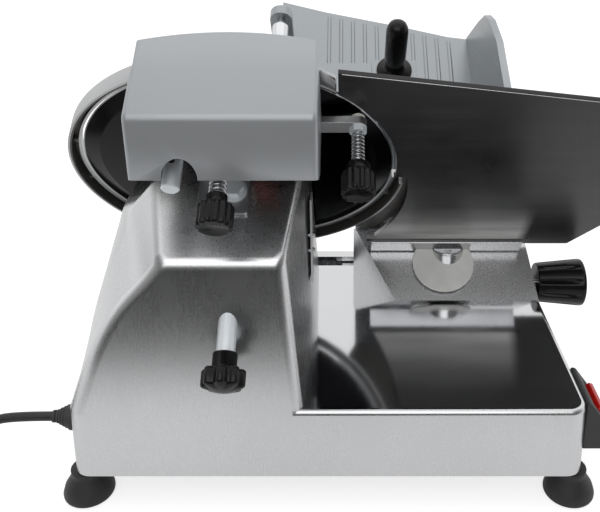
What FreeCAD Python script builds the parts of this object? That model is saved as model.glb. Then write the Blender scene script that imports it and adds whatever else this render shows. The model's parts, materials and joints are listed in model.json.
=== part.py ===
"""Gravity-feed meat slicer with a 250 mm knife, modelled piece by piece in millimetres.

Two drawing frames are used. Base pieces are drawn in the floor frame: x to the operator's right,
y away from the operator, z up, with the front feet on y = 0. Pieces round the knife are drawn in
the knife frame: across (same as x), up in the knife's plane, and out, square to the knife towards
the slice side. The knife's plane leans back, its top towards the operator.
"""
import FreeCAD, Part
import math
import os

V = FreeCAD.Vector

# Overall sizes of the base
base_width = 400.0
base_depth = 276.0
base_front = -14.0
base_bottom = 28.0
deck_height = 85.0
base_wall = 5.0
front_draft = 6.3
corner_radius = 14.0

# Knife and its plane
knife_radius = 125.0
knife_thickness = 3.0
knife_lean = 38.0
knife_x = 127.2 - base_width / 2
knife_y = 109.4
knife_z = deck_height + 156.6
knife_bore = 20.0
bevel_width = 13.0
edge_thickness = 0.5

# Ring guard round the knife
ring_gap = 1.5
ring_lip_wall = 2.0
ring_outer_wall = 3.0
ring_depth_out = 8.0
ring_depth_back = 6.0
ring_web = 3.0
ring_channel = 4.0
ring_start = 51.0
ring_end = 352.0

# Pedestal over the motor
neck_top = 34.0
neck_face = 10.0
crest_height = deck_height + 118.0
pedestal_right_front = knife_x + 42.0
pedestal_right_back = knife_x + 57.8
pedestal_right_taper = 0.1025

# Raised block that carries the gauge plate
ramp_foot_y = 155.0
ramp_foot_left = base_width / 2 - 139.3
block_back = 219.0
block_height = deck_height + 46.0
block_side_draft = 9.0

# Gauge plate
gauge_thickness = 4.0
gauge_gap = 3.5
gauge_right = 345.0
gauge_top_left = knife_radius - 1.0
gauge_left = knife_radius * 0.6512
gauge_bottom = -136.6
gauge_flare_up = -73.75
gauge_slope = 9.6

# Screws whose holes the base casting shares
ring_lug_angles = (222.0, 250.0, 282.0)
ring_lug_circle = knife_radius + 6.0
ring_screw_radius = 2.0
shield_screw_places = ((80.0, deck_height + 106.0), (80.0, deck_height + 92.0))
shield_screw_radius = 1.5

# Fits and clearances
running_gap = 0.05
seat_gap = 0.3
thread_gap = 0.1

# Where the part's own origin lies in the floor frame: under the middle of the overall box
origin_x = 26.1
origin_y = 166.7

knife_centre = V(knife_x, knife_y, knife_z)
base_left = -base_width / 2
base_right = base_width / 2
base_back = base_front + base_depth
lean_sin = math.sin(math.radians(knife_lean))
lean_cos = math.cos(math.radians(knife_lean))
front_slope = math.tan(math.radians(front_draft))
X = V(1, 0, 0)
Y = V(0, 1, 0)
Z = V(0, 0, 1)
O = V(0, 0, 0)

nodes = {}


def add(name, *solids):
    """Stores one node: a group of one or more separate solids."""
    nodes[name] = list(solids)


def box(x0, x1, y0, y1, z0, z1):
    return Part.makeBox(x1 - x0, y1 - y0, z1 - z0, V(x0, y0, z0))


def cylinder(radius, start, end):
    run = end - start
    return Part.makeCylinder(radius, run.Length, start, run)


def cone(radius_start, radius_end, start, end):
    run = end - start
    return Part.makeCone(radius_start, radius_end, run.Length, start, run)


def tube(outer, inner, start, end):
    return cylinder(outer, start, end).cut(cylinder(inner, start, end))


def prism(points, direction):
    """A flat outline of 3-D points pushed along a direction."""
    outline = Part.makePolygon(list(points) + [points[0]])
    return Part.Face(outline).extrude(direction)


def turned(profile, start, axis_out):
    """A solid of revolution: profile points are (radius, distance along the axis)."""
    points = [V(radius, 0, along) for radius, along in profile]
    outline = Part.makePolygon(points + [points[0]])
    solid = Part.Face(outline).revolve(O, Z, 360)
    turn = FreeCAD.Rotation(Z, axis_out)
    solid.Placement = FreeCAD.Placement(start, turn)
    return solid


def knife_to_floor(shape):
    """Moves a shape drawn in the knife frame (across, up, out) to its place over the floor."""
    moved = shape.copy()
    moved.rotate(O, X, 90 + knife_lean)
    moved.translate(knife_centre)
    return moved


def knife_point(across, up, out):
    """The place over the floor of a point given in the knife frame."""
    return knife_centre + V(across, -up * lean_sin - out * lean_cos, up * lean_cos - out * lean_sin)


def knife_coords(point):
    """Across, up and out of a point over the floor."""
    d = point - knife_centre
    return d.x, d.z * lean_cos - d.y * lean_sin, -d.y * lean_cos - d.z * lean_sin


def along(across, up, out):
    return V(across, up, out)


def rounded(shape, radius, wanted):
    """Fillets the edges that pass a test on their middle point and direction."""
    edges = []
    for edge in shape.Edges:
        middle = edge.valueAt((edge.FirstParameter + edge.LastParameter) / 2)
        span = edge.Vertexes[-1].Point - edge.Vertexes[0].Point
        if wanted(middle, span):
            edges.append(edge)
    return shape.makeFillet(radius, edges)


def front_y(z):
    """The front wall leans back by its casting draft."""
    return base_front + (z - base_bottom) * front_slope


# Base casting
# Left outline of the pedestal by height: height, x of the front crease, x and y of the side
pedestal_outline = [
    (deck_height - 25.0, 3.0, 0.5, 40.0),
    (deck_height + 12.0, 11.0, 0.5, 58.0),
    (deck_height + 48.0, 25.0, 7.0, 60.0),
    (deck_height + 80.0, 45.0, 17.5, 60.0),
    (deck_height + 118.0, 79.0, 31.0, 60.0),
    (deck_height + 140.0, 79.0, 40.0, 62.0),
    (deck_height + 161.0, 79.0, 62.0, 75.0),
    (deck_height + 177.0, 79.0, 76.0, 85.0),
]


def pedestal_block(inset):
    """The tapering tower, still uncut by its sloping top and its knife-side face."""
    wires = []
    for height, crease, side, side_y in pedestal_outline:
        right_front = pedestal_right_front + (crest_height - min(height, crest_height)) * pedestal_right_taper
        points = [
            V(base_left + crease + 1.2 * inset, front_y(height) + inset, height),
            V(base_left + side + inset, side_y, height),
            V(base_left + side + inset, 235, height),
            V(pedestal_right_back - inset, 235, height),
            V(pedestal_right_back - inset, 88, height),
            V(right_front - inset, front_y(height) + inset, height),
        ]
        wires.append(Part.makePolygon(points + [points[0]]))
    return Part.makeLoft(wires, True, True)


def under_neck(inset):
    """Everything below the neck's sloping top and in front of its knife-side face."""
    return knife_to_floor(box(-300, 300, -400, neck_top - inset, neck_face + inset, 400))


def pedestal(inset):
    return pedestal_block(inset).common(under_neck(inset))


ramp_level = knife_coords(V(0, ramp_foot_y, deck_height))[1]


def raised_block(inset, floor):
    """The block behind the deck: a ramp square to the knife, a flared left side, a drafted right."""
    lift = math.tan(math.radians(block_side_draft))
    right = base_right - 1.0 - inset
    wires = []
    for height in (floor, block_height - inset):
        rise = max(height - deck_height, 0)
        points = [
            V(ramp_foot_left - 10 + inset, 120, height),
            V(right - rise * lift, 120, height),
            V(right - rise * lift, block_back - inset, height),
            V(ramp_foot_left - 43 + inset, block_back - inset, height),
            V(ramp_foot_left - 10 + inset, 171, height),
        ]
        wires.append(Part.makePolygon(points + [points[0]]))
    block = Part.makeLoft(wires, True, True)
    under_ramp = knife_to_floor(box(-300, 500, -500, ramp_level - inset, -300, 300))
    flank = prism([
        V(ramp_foot_left + inset, ramp_foot_y, floor),
        V(ramp_foot_left - 42 + inset, block_back + 4, floor),
        V(ramp_foot_left + 400, block_back + 4, floor),
        V(ramp_foot_left + 400, ramp_foot_y - 40, floor),
        V(ramp_foot_left + inset, ramp_foot_y - 40, floor),
    ], V(0, 0, 120))
    return block.common(under_ramp).common(flank)


def base_box(inset, top):
    profile = [
        V(base_left + inset, front_y(base_bottom) + inset, base_bottom),
        V(base_left + inset, front_y(top) + inset, top),
        V(base_left + inset, base_back - inset, top),
        V(base_left + inset, base_back - inset, base_bottom),
    ]
    block = prism(profile, V(base_width - 2 * inset, 0, 0))
    radius = max(corner_radius - inset, 3)
    return rounded(block, radius, lambda m, s: abs(s.z) > 0.9 * (top - base_bottom))


# Carriage slot along the back of the deck
slot_y = 236.0
slot_width = 20.0
slot_left = base_left + 76.0
slot_right = base_right - 40.0
bar_radius = 10.0
bar_z = 60.0
bar_wall_lug = 6.0

# Gauge arm's column through the ramp
column_x = base_right - 85.8
column_y = 195.0
column_radius = 15.5
column_top = deck_height + 37.0
guide_up = -172.0
guide_radius = 6.0
guide_across = column_x - knife_x

# Index dial
dial_y = 180.0
dial_z = deck_height + 6.1
dial_shaft_radius = 3.0
pinion_pitch_radius = 4.5
pinion_teeth = 12

# Motor, in the knife frame
motor_across = -32.0
motor_up = -75.0
motor_radius = 48.0
motor_front = 140.0
motor_back = 38.0
web_out = 45.0
web_thickness = 7.0

# Spindle, in the knife frame
spindle_radius = 10.0
bearing_radius = 21.0
bearing_width = 12.0
housing_radius = 26.0
housing_back = 34.0
housing_front = 78.0
tie_rod_radius = 4.0
sleeve_radius = 7.0
sleeve_front = 159.5
pulley_radius = 26.0
pulley_back = 17.0
pulley_width = 12.0
hub_neck_radius = 14.0

# Bracket bolt and foot on the neck
bolt_across = 3.0
bolt_out = 47.0
bolt_radius = 4.0

# Switch, gland and feet
switch_y0 = 0.0
switch_y1 = 50.0
switch_z0 = 42.0
switch_z1 = 84.0
gland_y = 15.0
gland_z = 62.0
gland_bore = 5.0
foot_radius = 20.0
foot_x = base_right - 6.6
foot_back_y = base_back - 22.0
foot_spigot_radius = 4.0
plate_thickness = 2.5
foot_places = [(x, y) for x in (-foot_x, foot_x) for y in (0.0, foot_back_y)]


def drilled(shape, across, up, radius, out_from, out_to):
    """Cuts a round hole square to the knife through a shape drawn over the floor."""
    return shape.cut(cylinder(radius, knife_point(across, up, out_from), knife_point(across, up, out_to)))


guide_front_lug = 58.0
guide_back_lug = 1.0


def guide_lug(out_from, out_to):
    """A lug under the ramp that holds one end of the gauge guide rod."""
    return knife_to_floor(box(guide_across - 12, guide_across + 12, guide_up - 12,
                              ramp_level - base_wall + 1, out_from, out_to))


def make_base_casting():
    skin = base_box(0, deck_height)
    skin = rounded(skin, 4.0, lambda m, s: abs(m.z - deck_height) < 0.1)
    outer = skin.fuse([pedestal(0), raised_block(0, deck_height - 10)])
    inner = base_box(base_wall, deck_height - base_wall)
    inner = inner.fuse([pedestal(base_wall), raised_block(base_wall, deck_height - 10)])
    body = outer.cut(inner)
    web = box(-125, 50, -128, neck_top - base_wall + 1, web_out, web_out + web_thickness)
    web = knife_to_floor(web).common(pedestal(base_wall - 1))
    web = drilled(web, 0, 0, housing_radius + running_gap, 0, 200)
    web = drilled(web, motor_across, motor_up, motor_radius + 1, 0, 200)
    lugs = [guide_lug(guide_front_lug, guide_front_lug + 8)]
    back_lug = guide_lug(guide_back_lug, guide_back_lug + 8)
    lugs.append(back_lug.common(box(0, base_right, 0, block_back - 1, 0, 200)))
    for side in (base_left + base_wall - 1, base_right - base_wall + 1 - bar_wall_lug):
        lugs.append(cylinder(bar_radius + 6, V(side, slot_y, bar_z), V(side + bar_wall_lug, slot_y, bar_z)))
    for x, y in foot_places:
        boss = cylinder(10, V(x, y, base_bottom), V(x, y, base_bottom + 14))
        lugs.append(boss.common(base_box(1, deck_height)))
    body = body.fuse([web] + lugs)
    slot = box(slot_left, slot_right, slot_y - slot_width / 2, slot_y + slot_width / 2,
               deck_height - 20, deck_height + 10)
    column_slot = box(column_x - column_radius - 1, column_x + column_radius + 1,
                      column_y - column_radius - 9, column_y + column_radius + 1,
                      deck_height + 3, deck_height + 65)
    hub_hole = cylinder(hub_neck_radius + 3, knife_point(0, 0, neck_face - 2),
                        knife_point(0, 0, neck_face + base_wall + 2))
    sleeve_hole = cylinder(sleeve_radius + running_gap, knife_point(0, 0, 120), knife_point(0, 0, 170))
    guide_hole = cylinder(guide_radius + running_gap, knife_point(guide_across, guide_up, guide_back_lug + 1),
                          knife_point(guide_across, guide_up, 90))
    bar_hole = cylinder(bar_radius + running_gap, V(base_left + 3, slot_y, bar_z),
                        V(base_right - 3, slot_y, bar_z))
    dial_hole = cylinder(dial_shaft_radius + running_gap, V(base_right - 20, dial_y, dial_z),
                         V(base_right + 5, dial_y, dial_z))
    bolt_hole = cylinder(bolt_radius + running_gap, knife_point(bolt_across, neck_top + 2, bolt_out),
                         knife_point(bolt_across, neck_top - 8, bolt_out))
    gland_hole = cylinder(gland_bore + 1.0, V(base_left - 2, gland_y, gland_z),
                          V(base_left + 10, gland_y, gland_z))
    switch_hole = box(base_right - 10, base_right + 5, switch_y0 + 8, switch_y1 - 8,
                      switch_z0 + 8, switch_z1 - 8)
    cuts = [slot, column_slot, hub_hole, sleeve_hole, guide_hole, bar_hole, dial_hole, bolt_hole, gland_hole,
            switch_hole]
    for angle in ring_lug_angles:
        across = ring_lug_circle * math.cos(math.radians(angle))
        up = ring_lug_circle * math.sin(math.radians(angle))
        cuts.append(cylinder(ring_screw_radius + running_gap, knife_point(across, up, neck_face - 1),
                             knife_point(across, up, neck_face + 9)))
    for x, y in foot_places:
        cuts.append(cylinder(foot_spigot_radius + running_gap, V(x, y, base_bottom - 1),
                             V(x, y, base_bottom + 8 + seat_gap)))
    for place_y, place_z in shield_screw_places:
        cuts.append(cylinder(shield_screw_radius + running_gap, V(pedestal_right_back - 4, place_y, place_z),
                             V(pedestal_right_back + 2, place_y, place_z)))
    return body.cut(cuts[0].fuse(cuts[1:]))


def make_bottom_plate():
    plate = box(base_left + 3, base_right - 3, base_front + 4, base_back - 3,
                base_bottom - plate_thickness, base_bottom)
    plate = rounded(plate, corner_radius - 3, lambda m, s: abs(s.z) > 1)
    for x, y in foot_places:
        plate = plate.cut(cylinder(foot_spigot_radius + running_gap, V(x, y, 0), V(x, y, base_bottom + 1)))
    return plate


def make_foot(x, y):
    top = base_bottom - plate_thickness
    profile = [
        (0, 7), (9, 5), (foot_radius - 4, 0), (foot_radius - 1.5, 0), (foot_radius, 1.5),
        (foot_radius, 4), (foot_radius - 2, 10), (foot_radius - 6, 16), (foot_radius - 8, 20),
        (foot_radius - 8, top), (foot_spigot_radius, top), (foot_spigot_radius, base_bottom + 8),
        (0, base_bottom + 8),
    ]
    return turned(profile, V(x, y, 0), Z)


# Ring guard and knife
ring_inner = knife_radius + ring_gap
ring_outer = ring_inner + ring_lip_wall + ring_channel + ring_outer_wall
gusset_spacing = 25.0
gusset_thickness = 3.0
screw_head_height = 2.0


def on_circle(radius, angle, out=0.0):
    """A point of the knife frame, by radius and angle from the across axis."""
    turn = math.radians(angle)
    return V(radius * math.cos(turn), radius * math.sin(turn), out)


def make_ring_guard():
    lip = ring_inner + ring_lip_wall
    wall = ring_outer - ring_outer_wall
    web = ring_web - ring_depth_back
    profile = [
        V(ring_inner, 0, 2), V(lip, 0, 2), V(lip, 0, web), V(wall, 0, web), V(wall, 0, ring_depth_out),
        V(ring_outer, 0, ring_depth_out), V(ring_outer, 0, -ring_depth_back),
        V(ring_inner, 0, -ring_depth_back),
    ]
    ring = Part.Face(Part.makePolygon(profile + [profile[0]])).revolve(O, Z, ring_end - ring_start)
    ring.rotate(O, Z, ring_start)
    extras = []
    angle = ring_start + gusset_spacing / 2
    while angle < ring_end - 5:
        gusset = box(lip - 0.5, wall + 0.5, -gusset_thickness / 2, gusset_thickness / 2, web - 0.5, 1.5)
        gusset.rotate(O, Z, angle)
        extras.append(gusset)
        angle += gusset_spacing
    for angle in ring_lug_angles:
        foot = on_circle(ring_lug_circle, angle, web - 0.5)
        extras.append(cylinder(4.0, foot, on_circle(ring_lug_circle, angle, neck_face)))
    start = ring_outer - 1
    wing = [on_circle(start, 60, 3), on_circle(start + 13, 62, 3), on_circle(start + 8, 56, 3),
            on_circle(ring_inner + 2, 51.8, 3)]
    extras.append(prism(wing, V(0, 0, 3)))
    ring = ring.fuse(extras)
    holes = []
    for angle in ring_lug_angles:
        holes.append(cylinder(ring_screw_radius + running_gap, on_circle(ring_lug_circle, angle, -10),
                              on_circle(ring_lug_circle, angle, 20)))
    holes.append(box(gauge_left - ring_gap, ring_outer, ring_inner / 2, ring_outer, -20, 20))
    ring = ring.cut(holes[0].fuse(holes[1:]))
    return knife_to_floor(ring)


def make_ring_screws():
    screws = []
    for angle in ring_lug_angles:
        back = -ring_depth_back
        profile = [(0, back - screw_head_height), (3.0, back - screw_head_height), (3.6, back - 0.6),
                   (3.6, back), (ring_screw_radius, back), (ring_screw_radius, neck_face + 8),
                   (0, neck_face + 8)]
        screw = turned(profile, on_circle(ring_lug_circle, angle), Z)
        screws.append(knife_to_floor(screw))
    return screws


knife_screw_circle = 27.0
knife_screw_radius = 2.5
hub_flange_radius = 33.0
hub_flange_thickness = 5.0


def knife_screw_points():
    return [on_circle(knife_screw_circle, angle) for angle in (45, 135, 225, 315)]


def knife_screw(gap, head):
    """A countersunk screw, or with a gap its hole, from a level at its head to its end."""
    shank = knife_screw_radius + gap
    wide = knife_screw_radius * 2 + gap
    end = knife_thickness + hub_flange_thickness - 1.0 + gap
    return [(0, head), (wide, head), (wide, 0.2), (shank, knife_thickness - 0.2), (shank, end), (0, end)]


def make_knife():
    ground = knife_radius - bevel_width
    profile = [(knife_bore, 0), (knife_radius, 0), (knife_radius, edge_thickness), (ground, knife_thickness),
               (knife_bore, knife_thickness)]
    knife = turned(profile, O, Z)
    for point in knife_screw_points():
        knife = knife.cut(turned(knife_screw(thread_gap, -1), point, Z))
    return knife_to_floor(knife)


def make_knife_screws():
    return [knife_to_floor(turned(knife_screw(0, 0.1), point, Z)) for point in knife_screw_points()]


def belt_grooves(radius, start, width, depth):
    """The outline of a ribbed rim, one V groove beside the other."""
    points = []
    count = 4
    pitch = (width - 2.0) / count
    for index in range(count):
        low = start + 1.0 + index * pitch
        points += [(radius, low + 0.15), (radius - depth, low + pitch / 2), (radius, low + pitch - 0.15)]
    return [(radius, start)] + points + [(radius, start + width)]


def make_knife_pulley():
    back = knife_thickness + hub_flange_thickness
    rim_front = pulley_back + pulley_width
    bore = tie_rod_radius + 1.0
    profile = [(bore, 0.5), (knife_bore - thread_gap, 0.5), (knife_bore - thread_gap, knife_thickness),
               (hub_flange_radius, knife_thickness), (hub_flange_radius, back), (hub_neck_radius, back),
               (hub_neck_radius, pulley_back)]
    profile += belt_grooves(pulley_radius, pulley_back, pulley_width, 1.4)
    profile += [(spindle_radius, rim_front), (spindle_radius, housing_front + 4), (bore, housing_front + 4)]
    hub = turned(profile, O, Z)
    for point in knife_screw_points():
        hub = hub.cut(turned(knife_screw(thread_gap, -1), point, Z))
    return knife_to_floor(hub)


def make_bearings():
    rings = []
    for start in (housing_back, housing_front - bearing_width):
        end = start + bearing_width
        ring = tube(bearing_radius, spindle_radius + running_gap, V(0, 0, start), V(0, 0, end))
        rings.append(knife_to_floor(ring))
    return rings


def make_spindle_housing():
    shoulder = housing_back + bearing_width
    shoulder_front = housing_front - bearing_width
    web_front = web_out + web_thickness
    bore = bearing_radius + running_gap
    neck = bearing_radius - 3
    profile = [(bore, housing_back), (housing_radius, housing_back), (housing_radius, web_front),
               (housing_radius + 6, web_front), (housing_radius + 6, web_front + 4),
               (housing_radius, web_front + 4), (housing_radius, housing_front), (bore, housing_front),
               (bore, shoulder_front),
               (neck, shoulder_front), (neck, shoulder), (bore, shoulder)]
    housing = turned(profile, O, Z)
    motor_room = bore_out(motor_radius + 8, motor_across, motor_up, 0, 100)
    over = box(-housing_radius * 2, housing_radius * 2, neck_top - base_wall - seat_gap, housing_radius * 2,
               housing_back - 1, housing_front + 1)
    return knife_to_floor(housing.cut(motor_room.fuse(over)))


cover_radius = knife_radius - 38.75
tie_rod_end = sleeve_front + 22.0


def make_knife_cover():
    face = -6.5
    rim = cover_radius
    profile = [(0, -9), (12, -9), (14, face), (rim - 1, face), (rim, face + 1.5), (rim, -0.8),
               (rim - 2.5, -0.8), (rim - 2.5, -4), (9, -4), (9, -0.5), (tie_rod_radius + thread_gap, -0.5),
               (tie_rod_radius + thread_gap, -5), (0, -5)]
    return knife_to_floor(turned(profile, O, Z))


def make_tie_rod():
    return knife_to_floor(cylinder(tie_rod_radius, V(0, 0, -4.6), V(0, 0, tie_rod_end)))


def make_rod_sleeve():
    return knife_to_floor(tube(sleeve_radius, tie_rod_radius + 0.6, V(0, 0, housing_front + 8),
                               V(0, 0, sleeve_front)))


star_collar_radius = 9.0
star_radius = 16.0
star_lobes = 8


def make_star_knob():
    start = sleeve_front + 0.5
    head = start + 12
    end = head + 13
    knob = cylinder(star_collar_radius, V(0, 0, start), V(0, 0, head + 1))
    body = turned([(0, head), (star_radius - 3.5, head), (star_radius - 3.5, end),
                   (star_radius - 7, end + 2.5), (0, end + 3)], O, Z)
    lobes = []
    for index in range(star_lobes):
        middle = on_circle(star_radius - 4.2, index * 360 / star_lobes)
        profile = [(0, head), (3.6, head), (4.2, head + 0.8), (4.2, end - 1), (3.4, end), (0, end)]
        lobes.append(turned(profile, middle, Z))
    knob = knob.fuse([body] + lobes).removeSplitter()
    bore = bore_out(tie_rod_radius + running_gap, 0, 0, start - 1, tie_rod_end + running_gap)
    return knife_to_floor(knob.cut(bore))


# Motor and belt
motor_pulley_radius = 9.0
shaft_radius = 4.0


def motor_part(shape):
    """Moves a shape drawn about the motor's shaft, still in the knife frame, to its place."""
    moved = shape.copy()
    moved.translate(V(motor_across, motor_up, 0))
    return knife_to_floor(moved)


def make_motor_housing():
    wall = 4.0
    outer = turned([(0, motor_back), (motor_radius - 7, motor_back), (motor_radius, motor_back + 6),
                    (motor_radius, motor_front - 6), (motor_radius - 7, motor_front), (0, motor_front)], O, Z)
    inside = turned([(0, motor_back + wall), (motor_radius - 8, motor_back + wall),
                     (motor_radius - wall, motor_back + 8), (motor_radius - wall, motor_back + 22),
                     (27, motor_back + 22), (27, motor_front - 20),
                     (motor_radius - wall, motor_front - 20), (motor_radius - wall, motor_front - 8),
                     (motor_radius - 8, motor_front - wall), (0, motor_front - wall)], O, Z)
    shell = outer.cut(inside)
    shell = shell.cut(cylinder(shaft_radius + running_gap, V(0, 0, motor_back - 1), V(0, 0, motor_front + 1)))
    slots = []
    for index in range(10):
        slot = box(30, 38, -1.5, 1.5, motor_front - wall - 1, motor_front + 1)
        slot.rotate(O, Z, index * 36)
        slots.append(slot)
    return motor_part(shell.cut(slots[0].fuse(slots[1:])))


def make_motor_rotor():
    rotor = turned([(0, pulley_back - 1), (shaft_radius, pulley_back - 1), (shaft_radius, motor_back + 24),
                    (26, motor_back + 24), (26, motor_front - 22), (shaft_radius, motor_front - 22),
                    (shaft_radius, motor_front - 1), (0, motor_front - 1)], O, Z)
    return motor_part(rotor)


def make_motor_pulley():
    bore = shaft_radius + running_gap
    profile = [(bore, pulley_back)] + belt_grooves(motor_pulley_radius, pulley_back, pulley_width, 1.4)
    profile += [(bore, pulley_back + pulley_width)]
    return motor_part(turned(profile, O, Z))


def make_motor_fan():
    start = motor_front - 18
    fan = tube(9, shaft_radius + running_gap, V(0, 0, start), V(0, 0, start + 9))
    blades = []
    for index in range(8):
        blade = box(8, 38, -0.8, 0.8, start + 1, start + 8)
        blade.rotate(V(20, 0, start + 4), X, 25)
        blade.rotate(O, Z, index * 45)
        blades.append(blade)
    return motor_part(fan.fuse(blades))


def make_motor_mount():
    start = web_out + web_thickness
    ring = tube(motor_radius + 6.5, motor_radius + running_gap, V(0, 0, start), V(0, 0, start + 6))
    return motor_part(ring)


def belt_outline(big, small, start, end):
    """Two round ends joined by their outer tangents, as one solid."""
    gap = math.hypot(motor_across, motor_up)
    heading = math.atan2(motor_up, motor_across)
    spread = math.acos((big - small) / gap)
    corners = []
    for side in (1, -1):
        turn = math.degrees(heading + side * spread)
        corners.append(on_circle(big, turn, start))
        corners.append(on_circle(small, turn, start) + V(motor_across, motor_up, 0))
    outline = prism([corners[0], corners[1], corners[3], corners[2]], V(0, 0, end - start))
    ends = [cylinder(big, V(0, 0, start), V(0, 0, end)),
            cylinder(small, along(motor_across, motor_up, start), along(motor_across, motor_up, end))]
    return outline.fuse(ends).removeSplitter()


def make_drive_belt():
    thickness = 2.0
    start = pulley_back + 1
    end = pulley_back + pulley_width - 1
    big = pulley_radius + seat_gap
    small = motor_pulley_radius + seat_gap
    outer = belt_outline(big + thickness, small + thickness, start, end)
    inner = belt_outline(big, small, start - 1, end + 1)
    return knife_to_floor(outer.cut(inner))


def make_capacitor():
    radius = 17.0
    centre = V(base_left + 30, 196, base_bottom + radius + seat_gap)
    body = cylinder(radius, centre, centre + V(58, 0, 0))
    round_edges = [edge for edge in body.Edges if abs(edge.Length - 2 * math.pi * radius) < 0.1]
    body = body.makeFillet(2.0, round_edges)
    terminals = [box(centre.x + 58, centre.x + 65, centre.y + side - 0.6, centre.y + side + 0.6,
                     centre.z - 3, centre.z + 3) for side in (-6, 6)]
    return body.fuse(terminals)


# Sharpener
post_across = -31.0
post_up = knife_radius - 33.0
post_radius = 6.3
post_back = 28.0
post_front = 77.0
wheel_across = 1.5
wheel_up = knife_radius - 30.2
wheel_radius = 28.0
wheel_back = 12.0
wheel_front = 24.0
wheel_travel = 8.0
stud_radius = 4.0
grinding_knob_back = 83.0
grinding_knob_radius = 12.5
grinding_collar_radius = 7.0
hone_reach = knife_radius - 3.57
hone_up = knife_radius - 50.0
hone_across = math.sqrt(hone_reach ** 2 - hone_up ** 2)
hone_radius = 5.4
hone_back = 5.5
hone_travel = 3.0
hone_arm_back = 9.0
hone_arm_front = 15.0
hone_nut_front = 20.0
hone_knob_back = 47.0
hone_knob_radius = 12.3
hone_collar_radius = 8.8
hone_stud_radius = 2.5
body_back = 40.0
body_front = 46.0
bracket_depth = 8.0
spring_pocket = 12.0
knob_length = 25.0
stud_seat = 18.0
wire_radius = 0.7
grinding_spring_radius = 5.3
grinding_spring_curls = 12
honing_spring_radius = 4.2
honing_spring_curls = 11
spring_room = 0.4


def bore_out(radius, across, up, low, high):
    """A round bar square to the knife, drawn in the knife frame."""
    return cylinder(radius, along(across, up, low), along(across, up, high))


def make_sharpener_bracket():
    foot = box(-24, 14, neck_top, neck_top + 4, post_back, 66)
    upright = box(-24, 14, neck_top, post_up - 8, post_back, post_back + bracket_depth)
    neck = box(post_across - 4, -10, post_up - 18, post_up + 4, post_back, post_back + bracket_depth)
    boss = bore_out(post_radius + 5, post_across, post_up, post_back, body_back)
    bracket = foot.fuse([upright, neck, boss])
    bracket = bracket.makeFillet(3.0, [e for e in bracket.Edges if near_foot_corner(e)])
    holes = bore_out(post_radius + running_gap, post_across, post_up, 20, 60)
    holes = holes.fuse(knife_vertical(bolt_radius + running_gap, neck_top - 1, neck_top + 5))
    return knife_to_floor(bracket.cut(holes))


def near_foot_corner(edge):
    middle = edge.valueAt((edge.FirstParameter + edge.LastParameter) / 2)
    span = edge.Vertexes[-1].Point - edge.Vertexes[0].Point
    return abs(middle.z - 66) < 0.1 and abs(span.y) > 3


def knife_vertical(radius, low, high):
    """A round bar standing on the neck at the bracket's bolt, drawn in the knife frame."""
    return cylinder(radius, V(bolt_across, low, bolt_out), V(bolt_across, high, bolt_out))


def hexagon(across_flats, start, direction):
    """A hexagonal prism that starts at a point and runs along a direction."""
    corner = across_flats / math.sqrt(3)
    points = [on_circle(corner, index * 60) for index in range(6)]
    head = prism(points, V(0, 0, direction.Length))
    head.Placement = FreeCAD.Placement(start, FreeCAD.Rotation(Z, direction))
    return head


def make_bracket_bolt():
    top = neck_top + 4
    washer = knife_vertical(9.5, top, top + 1.6)
    shank = knife_vertical(bolt_radius, neck_top - 7, top + 1)
    head = hexagon(13, V(bolt_across, top + 1.6, bolt_out), V(0, 5.5, 0))
    return knife_to_floor(washer.fuse([shank, head]))


def make_sharpener_post():
    profile = [(0, post_back), (post_radius, post_back), (post_radius, post_front - 0.8),
               (post_radius - 0.8, post_front), (0, post_front)]
    return knife_to_floor(turned(profile, along(post_across, post_up, 0), Z))


def make_post_set_screw():
    seat = post_up + post_radius - 0.4
    screw = turned([(0, 0), (2.2, 0), (2.0, 1.4), (0, 2.0)], V(post_across, seat, post_front - 19), Y)
    rod = bore_out(post_radius, post_across, post_up, post_back, post_front)
    return knife_to_floor(screw.cut(rod))


hood_left = -57.0
hood_right = hone_across - 26.5
hood_wall = 1.5
hood_top = knife_radius + 13.0
hood_fold_out = 50.0
hood_lip_up = knife_radius - 21.3
hood_lip_out = 76.8
hood_side_low = knife_radius - 41.0
hood_side_back = 9.5
hood_far = 21.0
hood_sag = 9.0
hood_bend = 4.0
hood_notch = 12.0
hood_lip_slope = 0.86
ledge_top = hood_top - hood_wall - seat_gap


def make_sharpener_body():
    plate = box(hood_left + 8, hood_right - 5, hood_side_low, ledge_top, body_back, body_front)
    ledge = box(hood_left + 8, hood_right - 5, ledge_top - 4, ledge_top, ring_depth_out + 4, body_front)
    gusset = box(hood_right - 17, hood_right - 5, hone_up - 8, hood_side_low + 2, hone_arm_back, body_front)
    arm = box(hood_right - 17, hone_across, hone_up - 6.5, hone_up + 6.5, hone_arm_back, hone_arm_front)
    tip = cylinder(6.5, along(hone_across, hone_up, hone_arm_back),
                   along(hone_across, hone_up, hone_arm_front))
    body = plate.fuse([ledge, gusset, arm, tip]).removeSplitter()
    cuts = [bore_out(post_radius + running_gap, post_across, post_up, 0, 90),
            bore_out(stud_radius + running_gap, wheel_across, wheel_up, 30, 60),
            bore_out(hone_stud_radius + running_gap, hone_across, hone_up, 0, 30),
            bore_out(wheel_radius + 2, wheel_across, wheel_up, 0, wheel_front + 6)]
    return knife_to_floor(body.cut(cuts[0].fuse(cuts[1:])))


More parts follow.
